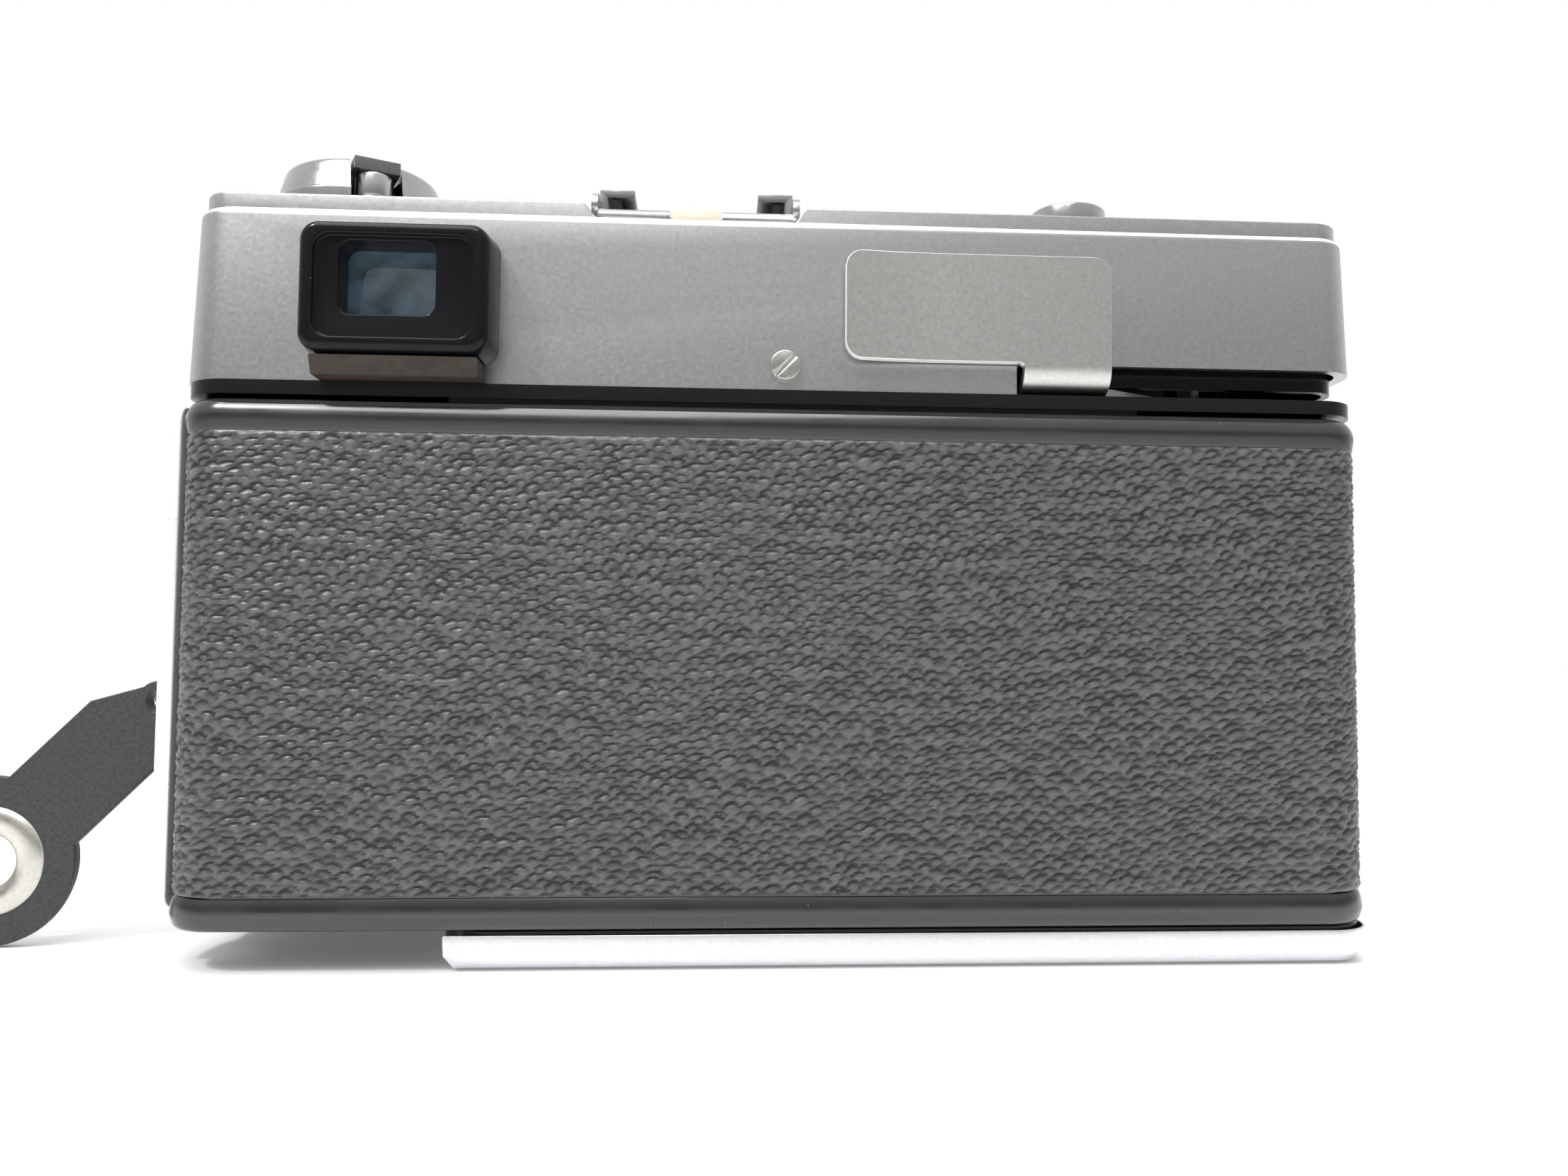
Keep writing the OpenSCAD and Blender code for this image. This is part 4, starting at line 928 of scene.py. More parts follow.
def make_floor():
    """A white table top that fades into the white background away from the camera body."""
    clear_selection()
    bpy.ops.mesh.primitive_plane_add(size=6, location=(0, 0, 0))
    floor = named("floor")
    finish = Finish("white_table", (0.93, 0.93, 0.925), 0.0, 0.7)
    finish.mottle(40, (0.92, 0.92, 0.915), (0.94, 0.94, 0.935))
    reach = finish.node("ShaderNodeVectorMath")
    reach.operation = "LENGTH"
    finish.link(finish.place, reach.inputs[0])
    fade = finish.ranged(reach.outputs["Value"], 0.1, 1.0, 0.1, 0.35)
    share = finish.node("ShaderNodeMath")
    share.operation = "MULTIPLY"
    finish.link(fade, share.inputs[0])
    seen = seen_rays(finish.tree, "Is Camera Ray", "Is Glossy Ray", "Is Transmission Ray")
    finish.link(seen, share.inputs[1])
    glow = finish.node("ShaderNodeEmission", Color=(1, 1, 1, 1))
    finish.show(mixed(finish.tree, share.outputs[0], finish.shader, glow))
    floor.data.materials.append(finish.material)


def area_light(name, place, aim, width, power):
    """A square soft lamp at a place, aimed at a point."""
    clear_selection()
    bpy.ops.object.light_add(type="AREA", location=place)
    lamp = bpy.context.object
    lamp.name = name
    lamp.data.shape = "SQUARE"
    lamp.data.size = width
    lamp.data.energy = power
    toward = Vector(aim) - Vector(place)
    lamp.rotation_euler = toward.to_track_quat("-Z", "Y").to_euler()
    return lamp


def make_room():
    """A bright room, darker behind the viewer and low down, that looks white to the camera."""
    world = bpy.context.scene.world or bpy.data.worlds.new("room")
    bpy.context.scene.world = world
    world.use_nodes = True
    tree = world.node_tree
    tree.nodes.clear()
    place = tree.nodes.new("ShaderNodeTexCoord")
    split = tree.nodes.new("ShaderNodeSeparateXYZ")
    tree.links.new(place.outputs["Generated"], split.inputs[0])
    ramp = tree.nodes.new("ShaderNodeValToRGB")
    tree.links.new(split.outputs["Z"], ramp.inputs["Fac"])
    for position, grey in ((0.0, 0.3), (0.12, 0.22), (0.45, 0.75), (0.9, 1.0)):
        stop = ramp.color_ramp.elements.new(position)
        stop.color = (grey, grey, grey, 1)
    ramp.color_ramp.elements.remove(ramp.color_ramp.elements[-1])
    behind = tree.nodes.new("ShaderNodeMapRange")
    behind.inputs["From Min"].default_value = -0.35
    behind.inputs["From Max"].default_value = 0.4
    tree.links.new(split.outputs["Y"], behind.inputs["Value"])
    room = tree.nodes.new("ShaderNodeMix")
    room.data_type = "RGBA"
    tree.links.new(behind.outputs[0], room.inputs["Factor"])
    tree.links.new(ramp.outputs["Color"], room.inputs[6])
    room.inputs[7].default_value = (1, 1, 1, 1)
    light = tree.nodes.new("ShaderNodeBackground")
    light.inputs["Strength"].default_value = 0.9
    tree.links.new(room.outputs[2], light.inputs["Color"])
    white = tree.nodes.new("ShaderNodeBackground")
    white.inputs["Color"].default_value = (1, 1, 1, 1)
    seen = seen_rays(tree, "Is Camera Ray", "Is Transmission Ray")
    output = tree.nodes.new("ShaderNodeOutputWorld")
    tree.links.new(mixed(tree, seen, light, white), output.inputs["Surface"])


def make_lamps():
    """A wide lamp high behind the viewer, one above the front that no gloss mirrors, and a small one."""
    area_light("window", (-0.15, -0.25, 0.6), (0, 0, 0.06), 0.5, 3.5)
    ceiling = area_light("ceiling", (0.3, 0.4, 0.7), (0, 0, 0.04), 0.6, 3.0)
    ceiling.visible_glossy = False
    area_light("spot", (-0.35, -0.3, 0.55), (0, 0, 0.05), 0.05, 1.6)


# ---- Back door and its leatherette ----


def bead(name, low, high, round_up, bulge, round_down):
    """A strip of the door whose top rounds over by bulge, and whose lower part leans in a little."""
    thick, lean = 2.2 * MM, 0.2 * MM
    section = [(-thick, low), (-round_down - lean, low)]
    section += arc((-round_down - lean, low + round_down), round_down, -90, -15)[1:]
    start_out, start_up = section[-1]
    widest_up = (low + high) / 2
    for share in np.linspace(0.2, 1, 5):
        section.append((start_out * (1 - share) ** 1.6, start_up + share * (widest_up - start_up)))
    for out, up in arc((0, 0), 1, 0, 90, 12):
        section.append(((out - 1) * bulge, high + (up - 1) * round_up))
    section += [(-thick, high)]
    ends = (DOOR_RIGHT_END, DOOR_LEFT_END)
    return wrap(name, section, DOOR_HIGH[0], DOOR_LOW[1], DOOR_CORNER, *ends, steps=14)


class CAMERA_OT_back_door(bpy.types.Operator):
    """Builds the back door's metal shell with its two beads, knuckle and studs"""

    bl_idname = "camera_maker.back_door"
    bl_label = "Back door"

    def execute(self, context):
        low, high = DOOR_LOW[2], DOOR_HIGH[2]
        wall, inset, under_skin = 1.2 * MM, 0.3 * MM, 0.1 * MM
        sides = ((0, low + inset), (0, high - inset), (-wall, high - inset), (-wall, low + inset))
        shell = wrap("door_shell", sides, DOOR_HIGH[0] - 0.9 * MM, DOOR_LOW[1] + 0.4 * MM,
                     DOOR_CORNER - 0.4 * MM, HINGE_Y, DOOR_LEFT_END + 0.2 * MM)
        top = bead("door_top_bead", SKIN_HIGH[2] - under_skin, high, 2.1 * MM, 1.5 * MM, 0.25 * MM)
        bottom = bead("door_low_bead", low, SKIN_LOW[2] + under_skin, 2.2 * MM, 0.8 * MM, 0.9 * MM)
        knuckle = rod("knuckle", (HINGE_X, HINGE_Y, low), (HINGE_X, HINGE_Y, high), 1.5 * MM)
        join(shell, top, bottom, soften(knuckle, 0.2 * MM))
        stud_back, stud_front, stud_rise = DOOR_LOW[1] + 1.6 * MM, -13.55 * MM, 19 * MM
        for x in (-22 * MM, 15 * MM):
            for z in (LENS_Z - stud_rise, LENS_Z + stud_rise):
                join(shell, rod("stud", (x, stud_back, z), (x, stud_front, z), 1 * MM, 24))
        dress(smooth(shell, 35), door_enamel, "back_door")
        return {"FINISHED"}


def pits(p, q, long, tall, seed):
    """Depth, 0 to 1, of arched folds set like bricks, long by tall, at places p along and q up.

    Each fold drops steeply from its arched upper edge and rises slowly below it.
    """
    table = np.random.default_rng(seed).random((512, 512, 4))
    row_here = np.floor(q / tall).astype(int)
    deepest = np.zeros(p.shape)
    for row_step in (-1, 0, 1):
        row = row_here + row_step
        stagger = 0.5 * (row % 2) + 0.16 * table[row % 512, 0, 0]
        column_here = np.floor(p / long - stagger).astype(int)
        for column_step in (-1, 0, 1):
            column = column_here + column_step
            chance = table[row % 512, column % 511 + 1]
            dx = p / long - (column + stagger + 0.5 + 0.34 * (chance[..., 0] - 0.5))
            dy = q / tall - (row + 0.7 + 0.5 * (chance[..., 1] - 0.5)) - (0.7 * chance[..., 2] - 0.2) * dx
            dy += 2.4 * dx ** 2
            reach = 0.46 + 0.14 * chance[..., 3]
            across = np.clip(1 - (dx / reach) ** 2, 0, 1) ** 0.6
            below = np.clip(1 + dy / (0.55 + 0.4 * chance[..., 1]), 0, 1) ** 1.2
            above = np.clip(1 - dy / 0.25, 0, 1)
            deepest = np.maximum(deepest, across * below * above * (0.6 + 0.4 * chance[..., 3]))
    return deepest


def grain_height(u, v):
    """Height of the leatherette's grain, about 0 to 1, at places u along and v up, in metres."""
    size = sizes().grain_size
    lean = np.radians(3 + 6 * np.tanh(u / (40 * MM)))
    climb = np.cumsum(np.tan(lean[0]) * np.gradient(u[0]))[None, :]
    sway = 0.5 * MM * np.sin(u / (5.1 * MM) + 2.3 * np.sin(v / (6.5 * MM)))
    sway += 0.12 * MM * np.sin(u / (1.3 * MM) + 2.5 * np.sin(v / (2.3 * MM) + u / (8 * MM)))
    q = v - climb + sway
    p = u + 0.4 * MM * np.sin(v / (1.9 * MM) + u / (5 * MM)) + 0.8 * MM * np.sin(v / (7 * MM))
    coarse = pits(p, q, 1.2 * size, 0.45 * size, 5)
    fine = pits(p * 1.07 + 0.2 * q, q * 1.1 - 0.2 * p, 0.5 * size, 0.27 * size, 9)
    swell = 0.06 * np.sin(q / (0.13 * size) * 0.5 + p / (3 * MM))
    return np.clip(0.96 - 0.85 * coarse - 0.22 * fine * (1 - 0.6 * coarse) + swell, 0, 1.1)


def plan_place(u, half, side, radius):
    """Place and outward direction on a plan that runs round a body's end, back or front, and other end.

    side is the y of the long face, and u is measured along the plan from the middle of that face.
    """
    flat = half - radius
    quarter = radius * math.pi / 2
    facing = -1 if side < 0 else 1
    far = np.abs(u) - flat
    angle = np.clip(far / radius, 0, math.pi / 2)
    past = np.maximum(far - quarter, 0)
    sign = np.sign(u)
    x = -facing * np.where(far <= 0, u, sign * (flat + radius * np.sin(angle)))
    y = side - facing * (radius * (1 - np.cos(angle)) + past)
    return x, y, -facing * sign * np.sin(angle) * (far > 0), facing * np.cos(angle)


def grained_sheet(name, half, side, radius, right_length, left_length, low, high):
    """A sheet of grained leatherette round a body, with its wrinkles in the mesh and an edge turned in."""
    column_step, row_step = 0.36 * MM, 0.2 * MM
    columns = int((right_length + left_length) / column_step)
    rows = int((high - low) / row_step)
    clear_selection()
    bpy.ops.mesh.primitive_grid_add(x_subdivisions=columns, y_subdivisions=rows, size=1)
    sheet = named(name)
    flat = np.empty(len(sheet.data.vertices) * 3)
    sheet.data.vertices.foreach_get("co", flat)
    flat = flat.reshape(-1, 3)
    order = np.lexsort((flat[:, 0], flat[:, 1]))
    u = np.linspace(-left_length, right_length, columns + 1)[None, :] * np.ones((rows + 1, 1))
    v = np.linspace(low, high, rows + 1)[:, None] * np.ones((1, columns + 1))
    height = grain_height(u, v)
    edge = np.minimum.reduce([u - u.min(), u.max() - u, v - low, high - v])
    edge_width, edge_drop = 0.5 * MM, 0.3 * MM
    soft = np.clip(edge / edge_width, 0, 1)
    x, y, out_x, out_y = plan_place(u, half, side, radius)
    raised = (height - 1) * sizes().grain_depth * soft - (1 - soft) ** 2 * edge_drop
    places = np.stack([x + out_x * raised, y + out_y * raised, v], axis=-1).reshape(-1, 3)
    flat[order] = places
    sheet.data.vertices.foreach_set("co", flat.ravel())
    # The grain height stored here sets the leatherette's roughness and paints shade into its folds.
    fold_heights = sheet.data.attributes.new("grain", "FLOAT", "POINT")
    values = np.empty(len(flat))
    values[order] = height.ravel()
    fold_heights.data.foreach_set("value", values)
    sheet.data.update()
    return sheet


def punch(sheet, axis, place, radius, least_x=-1):
    """Opens a round hole through a sheet along x (0) or y (1), with its rim moved onto the circle.

    Only what lies beyond least_x, in metres, is opened.
    """
    other = 1 - axis

    def away(point):
        """Distance from the hole's axis."""
        if point.x < least_x:
            return 1
        return math.hypot(point[other] - place[0], point.z - place[1])

    for vertex in sheet.data.vertices:
        distance = away(vertex.co)
        if abs(distance - radius) < 0.2 * MM:
            vertex.co[other] = place[0] + (vertex.co[other] - place[0]) * radius / distance
            vertex.co.z = place[1] + (vertex.co.z - place[1]) * radius / distance
    pick(sheet, "FACE", lambda f: away(f.calc_center_median()) < radius)
    bpy.ops.mesh.delete(type="FACE")
    bpy.ops.object.mode_set(mode="OBJECT")
    return sheet


class CAMERA_OT_door_leatherette(bpy.types.Operator):
    """Builds the wrinkled leatherette of the back door"""

    bl_idname = "camera_maker.door_leatherette"
    bl_label = "Door leatherette"

    def execute(self, context):
        half, side = SKIN_HIGH[0], SKIN_LOW[1]
        radius = DOOR_CORNER - 0.2 * MM
        to_end = half - radius + radius * math.pi / 2 - side - radius
        lengths = (to_end + DOOR_RIGHT_END, to_end + DOOR_LEFT_END)
        sheet = grained_sheet("door_skin", half, side, radius, *lengths, SKIN_LOW[2], SKIN_HIGH[2])
        dress(smooth(sheet, 180), leatherette, "door_leatherette")
        return {"FINISHED"}


class CAMERA_OT_front_leatherette(bpy.types.Operator):
    """Builds the wrinkled leatherette of the front, with its holes"""

    bl_idname = "camera_maker.front_leatherette"
    bl_label = "Front leatherette"

    def execute(self, context):
        low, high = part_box("front_leatherette")
        half, side = high[0], high[1]
        radius = COVER_CORNER + 0.6 * MM
        length = half - radius + radius * math.pi / 2 + side - radius - low[1]
        sheet = grained_sheet("front_skin", half, side, radius, length, length, low[2], high[2])
        punch(sheet, 1, (0, LENS_Z), half_width("lens_mount") + CLEARANCE)
        timer_radius = half_width("self_timer")
        timer_place = (middle("self_timer", 0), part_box("self_timer")[1][2] - timer_radius)
        punch(sheet, 1, timer_place, timer_radius + CLEARANCE)
        lug_place = (LUG_RIGHT_Y, middle("strap_lugs", 2))
        punch(sheet, 0, lug_place, LUG_RADIUS + CLEARANCE, least_x=half - 2 * MM)
        dress(smooth(sheet, 180), leatherette, "front_leatherette")
        return {"FINISHED"}


# ---- Top cover ----


def raised_platform(name, left, right, left_foot=0, right_foot=0):
    """A raised part of the cover's top, with an S-shaped slope at the end that has a foot."""
    low, top = COVER_TOP - 0.6 * MM, COVER_HIGH[2]
    rise = top - COVER_TOP

    def slope(x, foot):
        """The S-shaped line from the platform's top at x down to the cover's, foot further on."""
        shares = [i / 9 for i in range(10)]
        return [(x + foot * s, COVER_TOP + rise * (1 + math.cos(math.pi * s)) / 2) for s in shares]

    points = [(left - left_foot, low)]
    points += slope(left, -left_foot)[::-1] if left_foot else [(left, top)]
    points += slope(right, right_foot) if right_foot else [(right, top)]
    points += [(right + right_foot, low)]
    inset = 0.75 * MM
    y0, y1 = COVER_LOW[1] + inset, COVER_HIGH[1] - inset
    piece = slab(name, standing(points, y0), (0, y1 - y0, 0))
    outer = left if right_foot else right
    round_edges(piece, lambda e: upright(e) and edge_at(e, 0, outer), 3.6 * MM, 8)
    top_edge = COVER_TOP - 0.01 * MM
    round_edges(piece, lambda e: sharp(e) and edge_above(e, top_edge), sizes().platform_round, 4)
    return piece


class CAMERA_OT_top_cover(bpy.types.Operator):
    """Builds the pressed top cover with its two raised platforms"""

    bl_idname = "camera_maker.top_cover"
    bl_label = "Top cover"

    def execute(self, context):
        (x0, y0, z0), (x1, y1, _) = COVER_LOW, COVER_HIGH
        shell = block("cover_shell", (x0, y0, z0), (x1, y1, COVER_TOP))
        round_edges(shell, upright, COVER_CORNER, 9)
        top_edge = COVER_TOP - MM
        round_edges(shell, lambda e: sharp(e) and edge_above(e, top_edge), sizes().cover_round, 5)
        inset = 0.65 * MM
        unite(
            shell,
            raised_platform("platform_left", x0 + inset, SHOE_LOW[0] - 1.8 * MM, right_foot=1.9 * MM),
            raised_platform("platform_right", SHOE_HIGH[0] + 1.4 * MM, x1 - inset, left_foot=1.5 * MM),
        )
        pick(shell, "VERT", lambda v: v.co.z > z0 + 2 * MM)
        lean = 0.7 * MM
        bpy.ops.transform.resize(value=(1 - lean / x1, 1, 1), center_override=(0, 0, COVER_TOP))
        bpy.ops.object.mode_set(mode="OBJECT")
        cut(shell, cover_room(), *lever_slot(), *window_openings(), *top_holes())
        dress(smooth(shell, 32), satin_chrome, "top_cover")
        # Painted highlight: the near-white finish on the rounding of the top edge, where it catches the
        # light.
        rim = COVER_TOP - 0.5 * MM
        paint_highlight(shell, lambda f: abs(f.center.z - rim) < 0.45 * MM and 0.3 < f.normal.z < 0.85)
        return {"FINISHED"}


def cover_room():
    """A cutter for the room inside the top cover."""
    (x0, y0, z0), (x1, y1, _) = COVER_LOW, COVER_HIGH
    wall, end_wall = 0.9 * MM, 1.5 * MM
    room = block("room", (x0 + end_wall, y0 + wall, z0 - MM), (x1 - end_wall, y1 - wall, COVER_TOP - wall))
    return round_edges(room, upright, COVER_CORNER - wall, 6)


def lever_slot():
    """Cutters for the wind lever's slot in the cover's lower edge, along the back and round the end."""
    _, y0, z0 = COVER_LOW
    x1 = COVER_HIGH[0]
    back = block("slot", (SLOT_LEFT, y0 - MM, z0 - MM), (x1 + MM, y0 + 7 * MM, SLOT_TOP))
    round_edges(back, lambda e: edge_at(e, 0, SLOT_LEFT) and edge_at(e, 2, SLOT_TOP), 0.4 * MM, 3)
    end = block("slot_end", (x1 - 3 * MM, y0 - MM, z0 - MM), (x1 + MM, SLOT_SIDE_Y, SLOT_TOP))
    return back, end


def window_openings():
    """Cutters for the eyepiece in the cover's back and for the windows in its front."""
    back, front = COVER_LOW[1], COVER_HIGH[1]
    eyepiece = pane("eyepiece_room", "eyepiece_lens", CLEARANCE, back - MM, back + 3 * MM)
    low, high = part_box("window_bezel")
    rim = 2 * MM
    windows = block("front_room", (low[0] + rim, front - 3 * MM, low[2] + rim),
                    (high[0] - rim, front + MM, high[2] - rim))
    return eyepiece, windows


def top_holes():
    """Cutters for what comes up through the cover's top."""
    holes = []
    for node in ("rewind_sleeve", "counter_window", "shutter_button"):
        centre = (middle(node, 0), middle(node, 1))
        low, high = (*centre, COVER_TOP - 4 * MM), (*centre, COVER_HIGH[2] + MM)
        holes.append(rod("hole", low, high, half_width(node), 64))
    return holes


# ---- Eyepiece ----


class CAMERA_OT_eyepiece(bpy.types.Operator):
    """Builds the glossy eyepiece frame with its skirt and its glass"""

    bl_idname = "camera_maker.eyepiece"
    bl_label = "Eyepiece"

    def execute(self, context):
        seat = COVER_LOW[1]
        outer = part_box("eyepiece_frame")[0][1]
        x, z = middle("eyepiece_frame", 0), middle("eyepiece_frame", 2)
        moulding = pane("eyepiece_ring", "eyepiece_frame", 0, seat, outer, 1.9 * MM, 8)
        pick(moulding, "VERT", lambda v: v.co.y < outer + 0.01 * MM)
        bpy.ops.transform.resize(value=(0.955, 1, 0.945), center_override=(x, outer, z))
        bpy.ops.object.mode_set(mode="OBJECT")
        round_edges(moulding, lambda e: sharp(e) and edge_at(e, 1, outer), 0.75 * MM, 6)
        wide, tall = 7.75 * MM, 5.15 * MM
        outline = rounded((x - wide, z - tall), (x + wide, z + tall), 1.7 * MM, 8)
        recess = slab("recess", standing(outline, outer - MM), (0, 1.55 * MM, 0))
        window = pane("window", "eyepiece_lens", -0.5 * MM, outer - MM, seat + 3 * MM, 1.2 * MM)
        cut(moulding, recess, window)
        soften(moulding, 0.22 * MM, 3, 50)
        dress(smooth(moulding, 40), gloss_black, "eyepiece_frame")

        low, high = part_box("eyepiece_lens")
        lens = pane("eyepiece_glass", "eyepiece_lens", 0, low[1], high[1], 1.1 * MM)
        soften(lens, 0.15 * MM, 2, 50)
        dress(smooth(lens, 40), eyepiece_glass, "eyepiece_lens")

        apron = refine("eyepiece_skirt", "eyepiece_apron", matt_brown, sizes().edge_round)
        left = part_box("eyepiece_skirt")[0][0]
        for vertex in apron.data.vertices:
            if vertex.co.x < left + MM:
                vertex.co.x += 1.1 * MM
        return {"FINISHED"}


# ---- Wind lever ----


class CAMERA_OT_wind_lever(bpy.types.Operator):
    """Builds the satin wind lever with its thumb plate, bend and arm"""

    bl_idname = "camera_maker.wind_lever"
    bl_label = "Wind lever"

    def execute(self, context):
        left = LEVER_LOW[0]
        lever = thumb_plate()
        unite(lever, *lever_arm())
        soften(lever, 0.15 * MM, 2, 50)
        merge_near(lever, 0.02 * MM)
        bowed, cut_step = 10 * MM, 0.8 * MM
        for place in left + cut_step * np.arange(1, 13):
            edit_all(lever)
            bpy.ops.mesh.bisect(plane_co=(place, 0, 0), plane_no=(1, 0, 0))
            bpy.ops.object.mode_set(mode="OBJECT")
        merge_near(lever, 0.02 * MM)
        for vertex in lever.data.vertices:
            reach = (left + bowed - vertex.co.x) / bowed
            if reach > 0:
                vertex.co.y -= sizes().lever_bow * reach ** 2
        dress(smooth(lever, 40), lever_satin, "wind_lever")
        modify(lever, "WEIGHTED_NORMAL", keep_sharp=True)
        # Painted highlight: the near-white finish on the thumb plate's rounded rim.
        rim_low = THUMB_LOW - 0.3 * MM
        paint_highlight(lever, lambda f: f.center.z > rim_low and f.normal.y > -0.965)
        return {"FINISHED"}


def thumb_plate():
    """The lever's upright thumb plate, with its tab that reaches down to the bend."""
    left, right = LEVER_LOW[0], THUMB_RIGHT
    low, top = THUMB_LOW, LEVER_HIGH[2]
    tab_left, tab_low = right - TAB_WIDTH, LEVER_LOW[2] + 2.7 * MM
    right_round, left_round, tab_round = 1.9 * MM, 1.8 * MM, 0.5 * MM
    outline = [(right, tab_low)]
    outline += arc((right - right_round, top - right_round), right_round, 0, 90, 8)
    outline += arc((left + left_round, top - left_round), left_round, 90, 180, 8)
    outline += arc((left + left_round, low + left_round), left_round, 180, 270, 8)
    outline += arc((tab_left - tab_round, low - tab_round), tab_round, 90, 0, 4)
    outline += [(tab_left, tab_low)]
    face = LEVER_LOW[1]
    plate = slab("lever_plate", standing(outline, face), (0, LEVER_SHEET, 0))
    above_tab = tab_low + 0.1 * MM

    def on_rim(edge):
        """Tells whether an edge runs round the plate's back face, above the tab."""
        return edge_at(edge, 1, face) and max(v.co.z for v in edge.verts) > above_tab

    return round_edges(plate, on_rim, 0.3 * MM)


def lever_arm():
    """The lever's bend under the thumb plate, its level arm and its hub."""
    left, right = THUMB_RIGHT - TAB_WIDTH, THUMB_RIGHT
    low, high = LEVER_LOW[2], LEVER_LOW[2] + LEVER_SHEET
    inner = 1.7 * MM
    curve_y = LEVER_LOW[1] + LEVER_SHEET + inner
    curve = arc((curve_y, high + inner), inner + LEVER_SHEET, 180, 270, 10)
    curve += arc((curve_y, high + inner), inner, 270, 180, 10)
    bend = slab("lever_bend", [(left, y, z) for y, z in curve], (right - left, 0, 0))
    x, y = LEVER_PIVOT
    start_y, side = curve_y - 0.05 * MM, 3 * MM
    plan = [(left, start_y), (right, start_y), (x + side, y - side), (x - side, y + side)]
    arm = slab("lever_arm", lying(plan, low), (0, 0, LEVER_SHEET))
    return bend, arm, rod("lever_hub", (x, y, low), (x, y, high), 5 * MM, 64)


# ---- Rewind knob and crank ----


def about_knob(piece):
    """Turns a piece about the knob's axis, from straight back to the side of the notch."""
    edit_all(piece)
    bpy.ops.transform.rotate(value=-KNOB_TURN, orient_axis="Z", center_override=(KNOB_X, KNOB_Y, 0))
    bpy.ops.object.mode_set(mode="OBJECT")
    return piece


def knob_block(name, half, y0, y1, z0, z1):
    """A block beside the knob's axis, turned to the side of the notch."""
    low, high = (KNOB_X - half, KNOB_Y + y0, z0), (KNOB_X + half, KNOB_Y + y1, z1)
    return about_knob(block(name, low, high))


class CAMERA_OT_rewind_knob(bpy.types.Operator):
    """Builds the rewind knob with its stepped, sloping rim, and the crank that folds into it"""

    bl_idname = "camera_maker.rewind_knob"
    bl_label = "Rewind knob and crank"

    def execute(self, context):
        low, top = KNOB_LOW[2], KNOB_HIGH[2]
        radius = half_width("rewind_knob")
        wall_top, corner, brim = low + 1.5 * MM, 0.45 * MM, 0.9 * MM
        dish = top - 0.15 * MM
        profile = [(0, low), (radius - 0.3 * MM, low), (radius, low + 0.3 * MM), (radius, wall_top)]
        profile += arc((radius - corner, wall_top), corner, 0, 70, 4)[1:]
        profile += arc((radius - 1.9 * MM, top - brim), brim, 15, 90)
        profile += [(radius - 2.9 * MM, top), (radius - 3.4 * MM, dish), (0, dish)]
        knob = turned("knob", profile, (KNOB_X, KNOB_Y, 0), (0, 0, 1), 128)
        reach, half = radius + MM, 2.65 * MM
        notch_end = -4.5 * MM
        cut(
            knob,
            knob_block("slot", half, -reach, reach, top - 1.5 * MM, top + MM),
            knob_block("notch", half, -reach, notch_end, low + 0.6 * MM, top),
            rod("bore", (KNOB_X, KNOB_Y, low - MM), (KNOB_X, KNOB_Y, wall_top), 2.5 * MM),
        )
        soften(knob, sizes().edge_round, 2, 50)
        dress(smooth(knob, 35), dull_chrome, "rewind_knob")
        refine("rewind_crank", "crank", crank_steel, 0.25 * MM, 3)
        refine("crank_grip", "grip", bright_steel, 0.3 * MM, 3)
        return {"FINISHED"}


# ---- Strap ----


class CAMERA_OT_strap(bpy.types.Operator):
    """Builds the leather strap end with its grommet, and the lugs"""

    bl_idname = "camera_maker.strap"
    bl_label = "Strap"

    def execute(self, context):
        leather = copy_of("strap", "strap_leather")
        soften(leather, 0.35 * MM, 4, 45)
        dress(smooth(leather, 40), strap_leather, "strap")
        low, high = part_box("strap_grommet")
        outer, eye, reach = half_width("strap_grommet"), EYELET_RADIUS, (high[1] - low[1]) / 2
        crown, flange = (outer + eye) / 2, reach - 0.75 * MM
        dome = arc((crown, flange), outer - crown, 0, 180, 14)
        side = [(r, flange + (along - flange) * 0.49) for r, along in dome[:-1]]
        side += [(eye, reach - 0.95 * MM)]
        profile = side + [(r, -along) for r, along in reversed(side)]
        centre = [middle("strap_grommet", axis) for axis in range(3)]
        ring = turned("grommet", profile, centre, (0, -1, 0))
        dress(smooth(ring, 60), grommet_metal, "strap_grommet")
        refine("strap_lugs", "lugs", bright_chrome, 0.15 * MM, 3, 45)
        return {"FINISHED"}


# ---- Base plate ----


class CAMERA_OT_base_plate(bpy.types.Operator):
    """Builds the bright base plate, with the lip that holds the casting's lower edge"""

    bl_idname = "camera_maker.base_plate"
    bl_label = "Base plate"

    def execute(self, context):
        plate = soften(copy_of("base_plate", "foot_plate"), sizes().edge_round)
        join(plate, soften(base_lip(), 0.2 * MM, 3))
        dress(smooth(plate, 40), foot_metal, "base_plate")
        return {"FINISHED"}


def base_lip():
    """The base plate's lip at the back and right, with its foot drawn in at the left end."""
    low, high = PLATE_LOW, PLATE_HIGH
    sheet, foot = 0.35 * MM, 2.1 * MM
    back, inside, top = CASTING_BACK - sheet, -0.8 * sheet, DOOR_LOW[2] - 0.5 * MM
    seat = high[2] - 0.06 * MM
    section = [(0, 1.7 * MM), (0, top), (inside, top), (inside, seat), (back - low[1], seat),
               (back - low[1], 0), (-foot, 0), (-0.5 * foot, 0.3 * MM)]
    lip = wrap("foot_lip", section, high[0], back, COVER_CORNER, high[1] - 3 * MM, 0)
    cut(lip, block("beyond", (-0.1, -0.1, -MM), (low[0] + 0.7 * MM, 0.1, 0.01)))
    end_x, slant_top = low[0] + 0.8 * MM, 1.8 * MM
    for vertex in lip.data.vertices:
        if vertex.co.x < end_x and vertex.co.z < slant_top:
            vertex.co.x += 0.6 * (slant_top - vertex.co.z)
    return lip


# ---- Pieces whose shape is the frame's, with their edges rounded ----


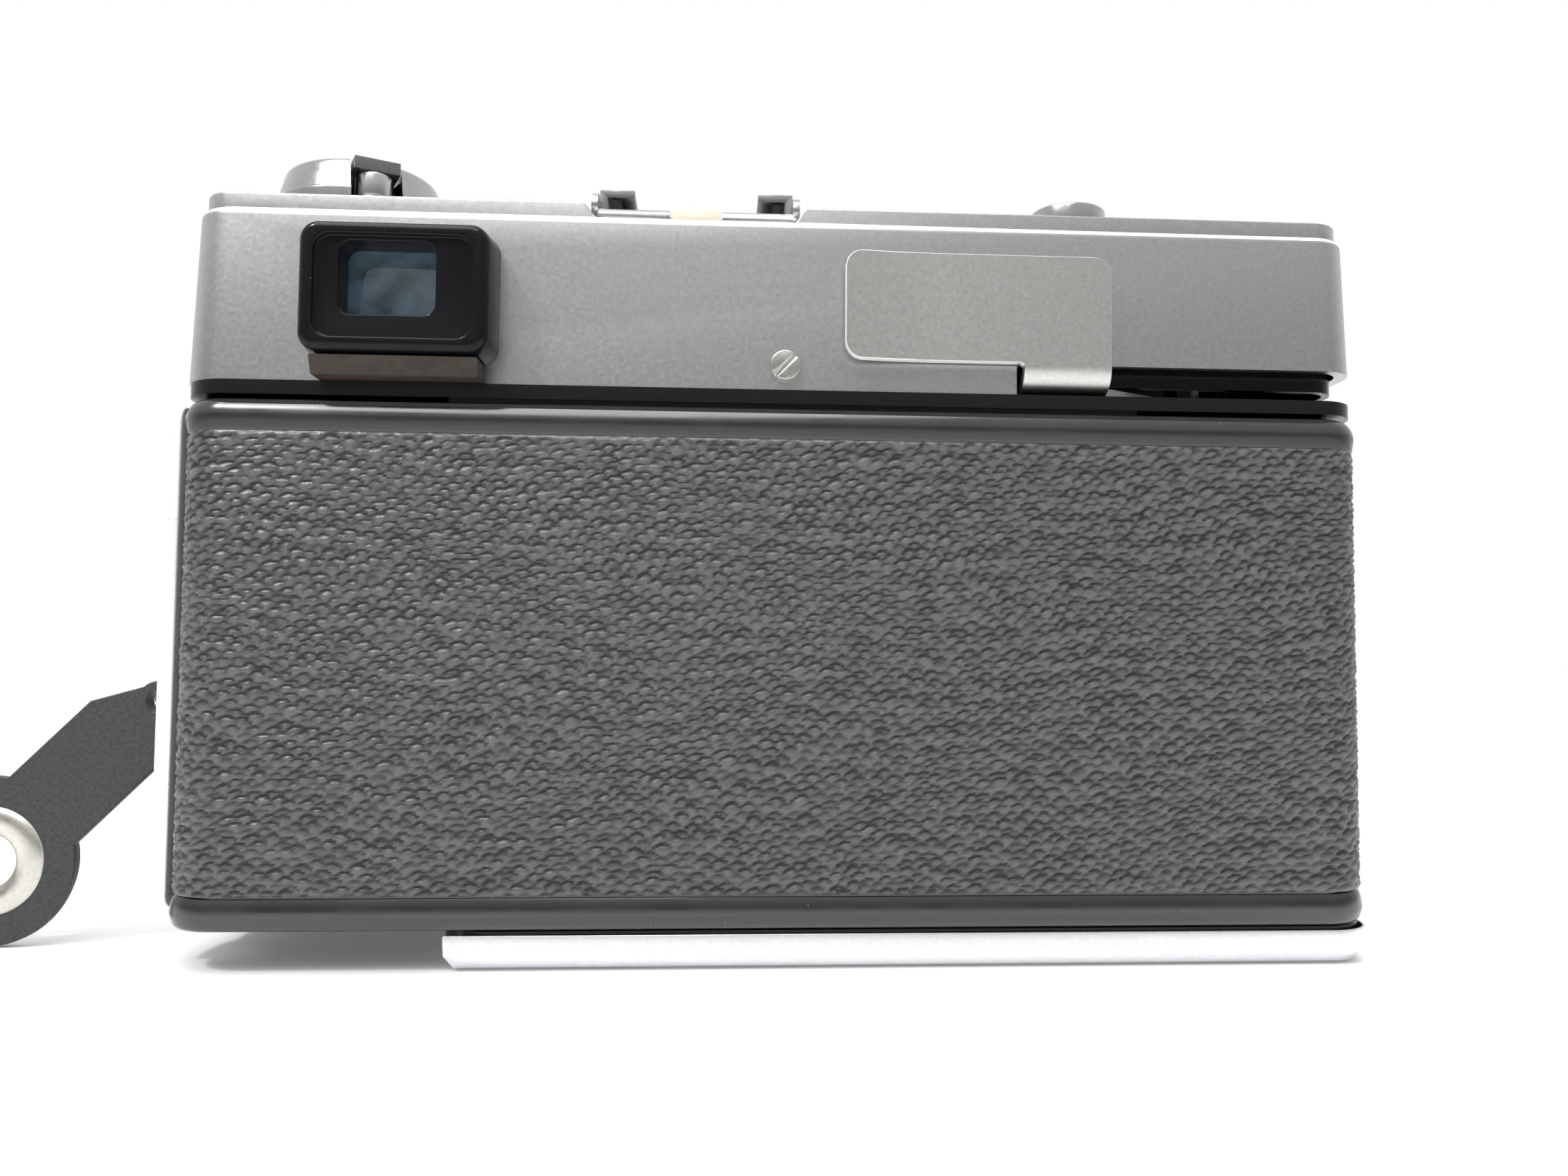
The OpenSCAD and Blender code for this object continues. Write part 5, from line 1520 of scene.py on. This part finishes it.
# CAD node, piece, finish and radius of the rounded edges in millimetres.
MACHINED = (
    ("accessory_shoe", "shoe", dull_chrome, 0.2),
    ("shoe_spring", "spring_leaves", bright_steel, 0.12),
    ("shoe_insulator", "insulator", ivory, 0.15),
    ("tripod_socket", "tripod_bush", brass, 0.12),
    ("battery_cap", "battery_lid", bright_chrome, 0.15),
    ("base_screws", "plate_screws", screw_nickel, 0.08),
    ("cover_screws", "cover_screw", screw_nickel, 0.1),
    ("shutter_button", "button", button_blue, 0.12),
    ("button_collar", "collar", dull_chrome, 0.3),
    # The latch takes the near-white finish as a painted reflection of the white room.
    ("door_latch", "latch", painted_highlight_white, 0.2),
    ("window_bezel", "bezel", gloss_black, 0.2),
    ("focus_ring", "focus_grip", blackened, 0.12),
    ("speed_ring", "speed_grip", anodised, 0.12),
    ("aperture_ring", "aperture_grip", anodised, 0.12),
    ("filter_ring", "filter_rim", blackened, 0.12),
    ("lens_mount", "mount_flange", bright_chrome, 0.2),
    ("self_timer", "timer_lever", bright_chrome, 0.2),
)


class CAMERA_OT_machined_pieces(bpy.types.Operator):
    """Rounds the edges of the small machined pieces"""

    bl_idname = "camera_maker.machined_pieces"
    bl_label = "Machined pieces"

    def execute(self, context):
        for node, name, maker, radius in MACHINED:
            refine(node, name, maker, radius * MM, 3, 40)
        return {"FINISHED"}


# ---- Pieces that keep the frame's shape ----


class CAMERA_OT_inner_pieces(bpy.types.Operator):
    """Gives every CAD piece that keeps its shape its finish"""

    bl_idname = "camera_maker.inner_pieces"
    bl_label = "Inner pieces"

    def execute(self, context):
        for node, shape in frame["nodes"].items():
            if not shape.hide_render:
                coat(shape, INNER_FINISHES[SLOT_OF[node]])
        return {"FINISHED"}


class VIEW3D_PT_camera_maker(bpy.types.Panel):
    """Lists the camera's pieces"""

    bl_label = "Camera Maker"
    bl_idname = "VIEW3D_PT_camera_maker"
    bl_space_type = "VIEW_3D"
    bl_region_type = "UI"
    bl_category = "Camera Maker"

    def draw(self, context):
        column = self.layout.column()
        for group in (context.scene.camera_sizes, context.scene.camera_colours):
            for field in group.bl_rna.properties:
                if not field.is_readonly and field.identifier != "name":
                    column.prop(group, field.identifier)
        for maker in OPERATORS:
            column.operator(maker.bl_idname)


OPERATORS = (
    STAGE_OT_floor_and_light,
    CAMERA_OT_back_door,
    CAMERA_OT_door_leatherette,
    CAMERA_OT_front_leatherette,
    CAMERA_OT_top_cover,
    CAMERA_OT_eyepiece,
    CAMERA_OT_wind_lever,
    CAMERA_OT_rewind_knob,
    CAMERA_OT_strap,
    CAMERA_OT_base_plate,
    CAMERA_OT_machined_pieces,
    CAMERA_OT_inner_pieces,
)
CLASSES = (CameraSizes, CameraColours, *OPERATORS, VIEW3D_PT_camera_maker)


def register():
    """Adds the classes and the scene's settings."""
    for item in CLASSES:
        bpy.utils.register_class(item)
    bpy.types.Scene.camera_sizes = bpy.props.PointerProperty(type=CameraSizes)
    bpy.types.Scene.camera_colours = bpy.props.PointerProperty(type=CameraColours)


def unregister():
    """Removes them again."""
    del bpy.types.Scene.camera_colours
    del bpy.types.Scene.camera_sizes
    for item in reversed(CLASSES):
        bpy.utils.unregister_class(item)


def main():
    """Builds the whole camera."""
    register()
    for maker in OPERATORS:
        group, action = maker.bl_idname.split(".")
        getattr(getattr(bpy.ops, group), action)()
    clear_selection()


if __name__ == "__main__":
    main()
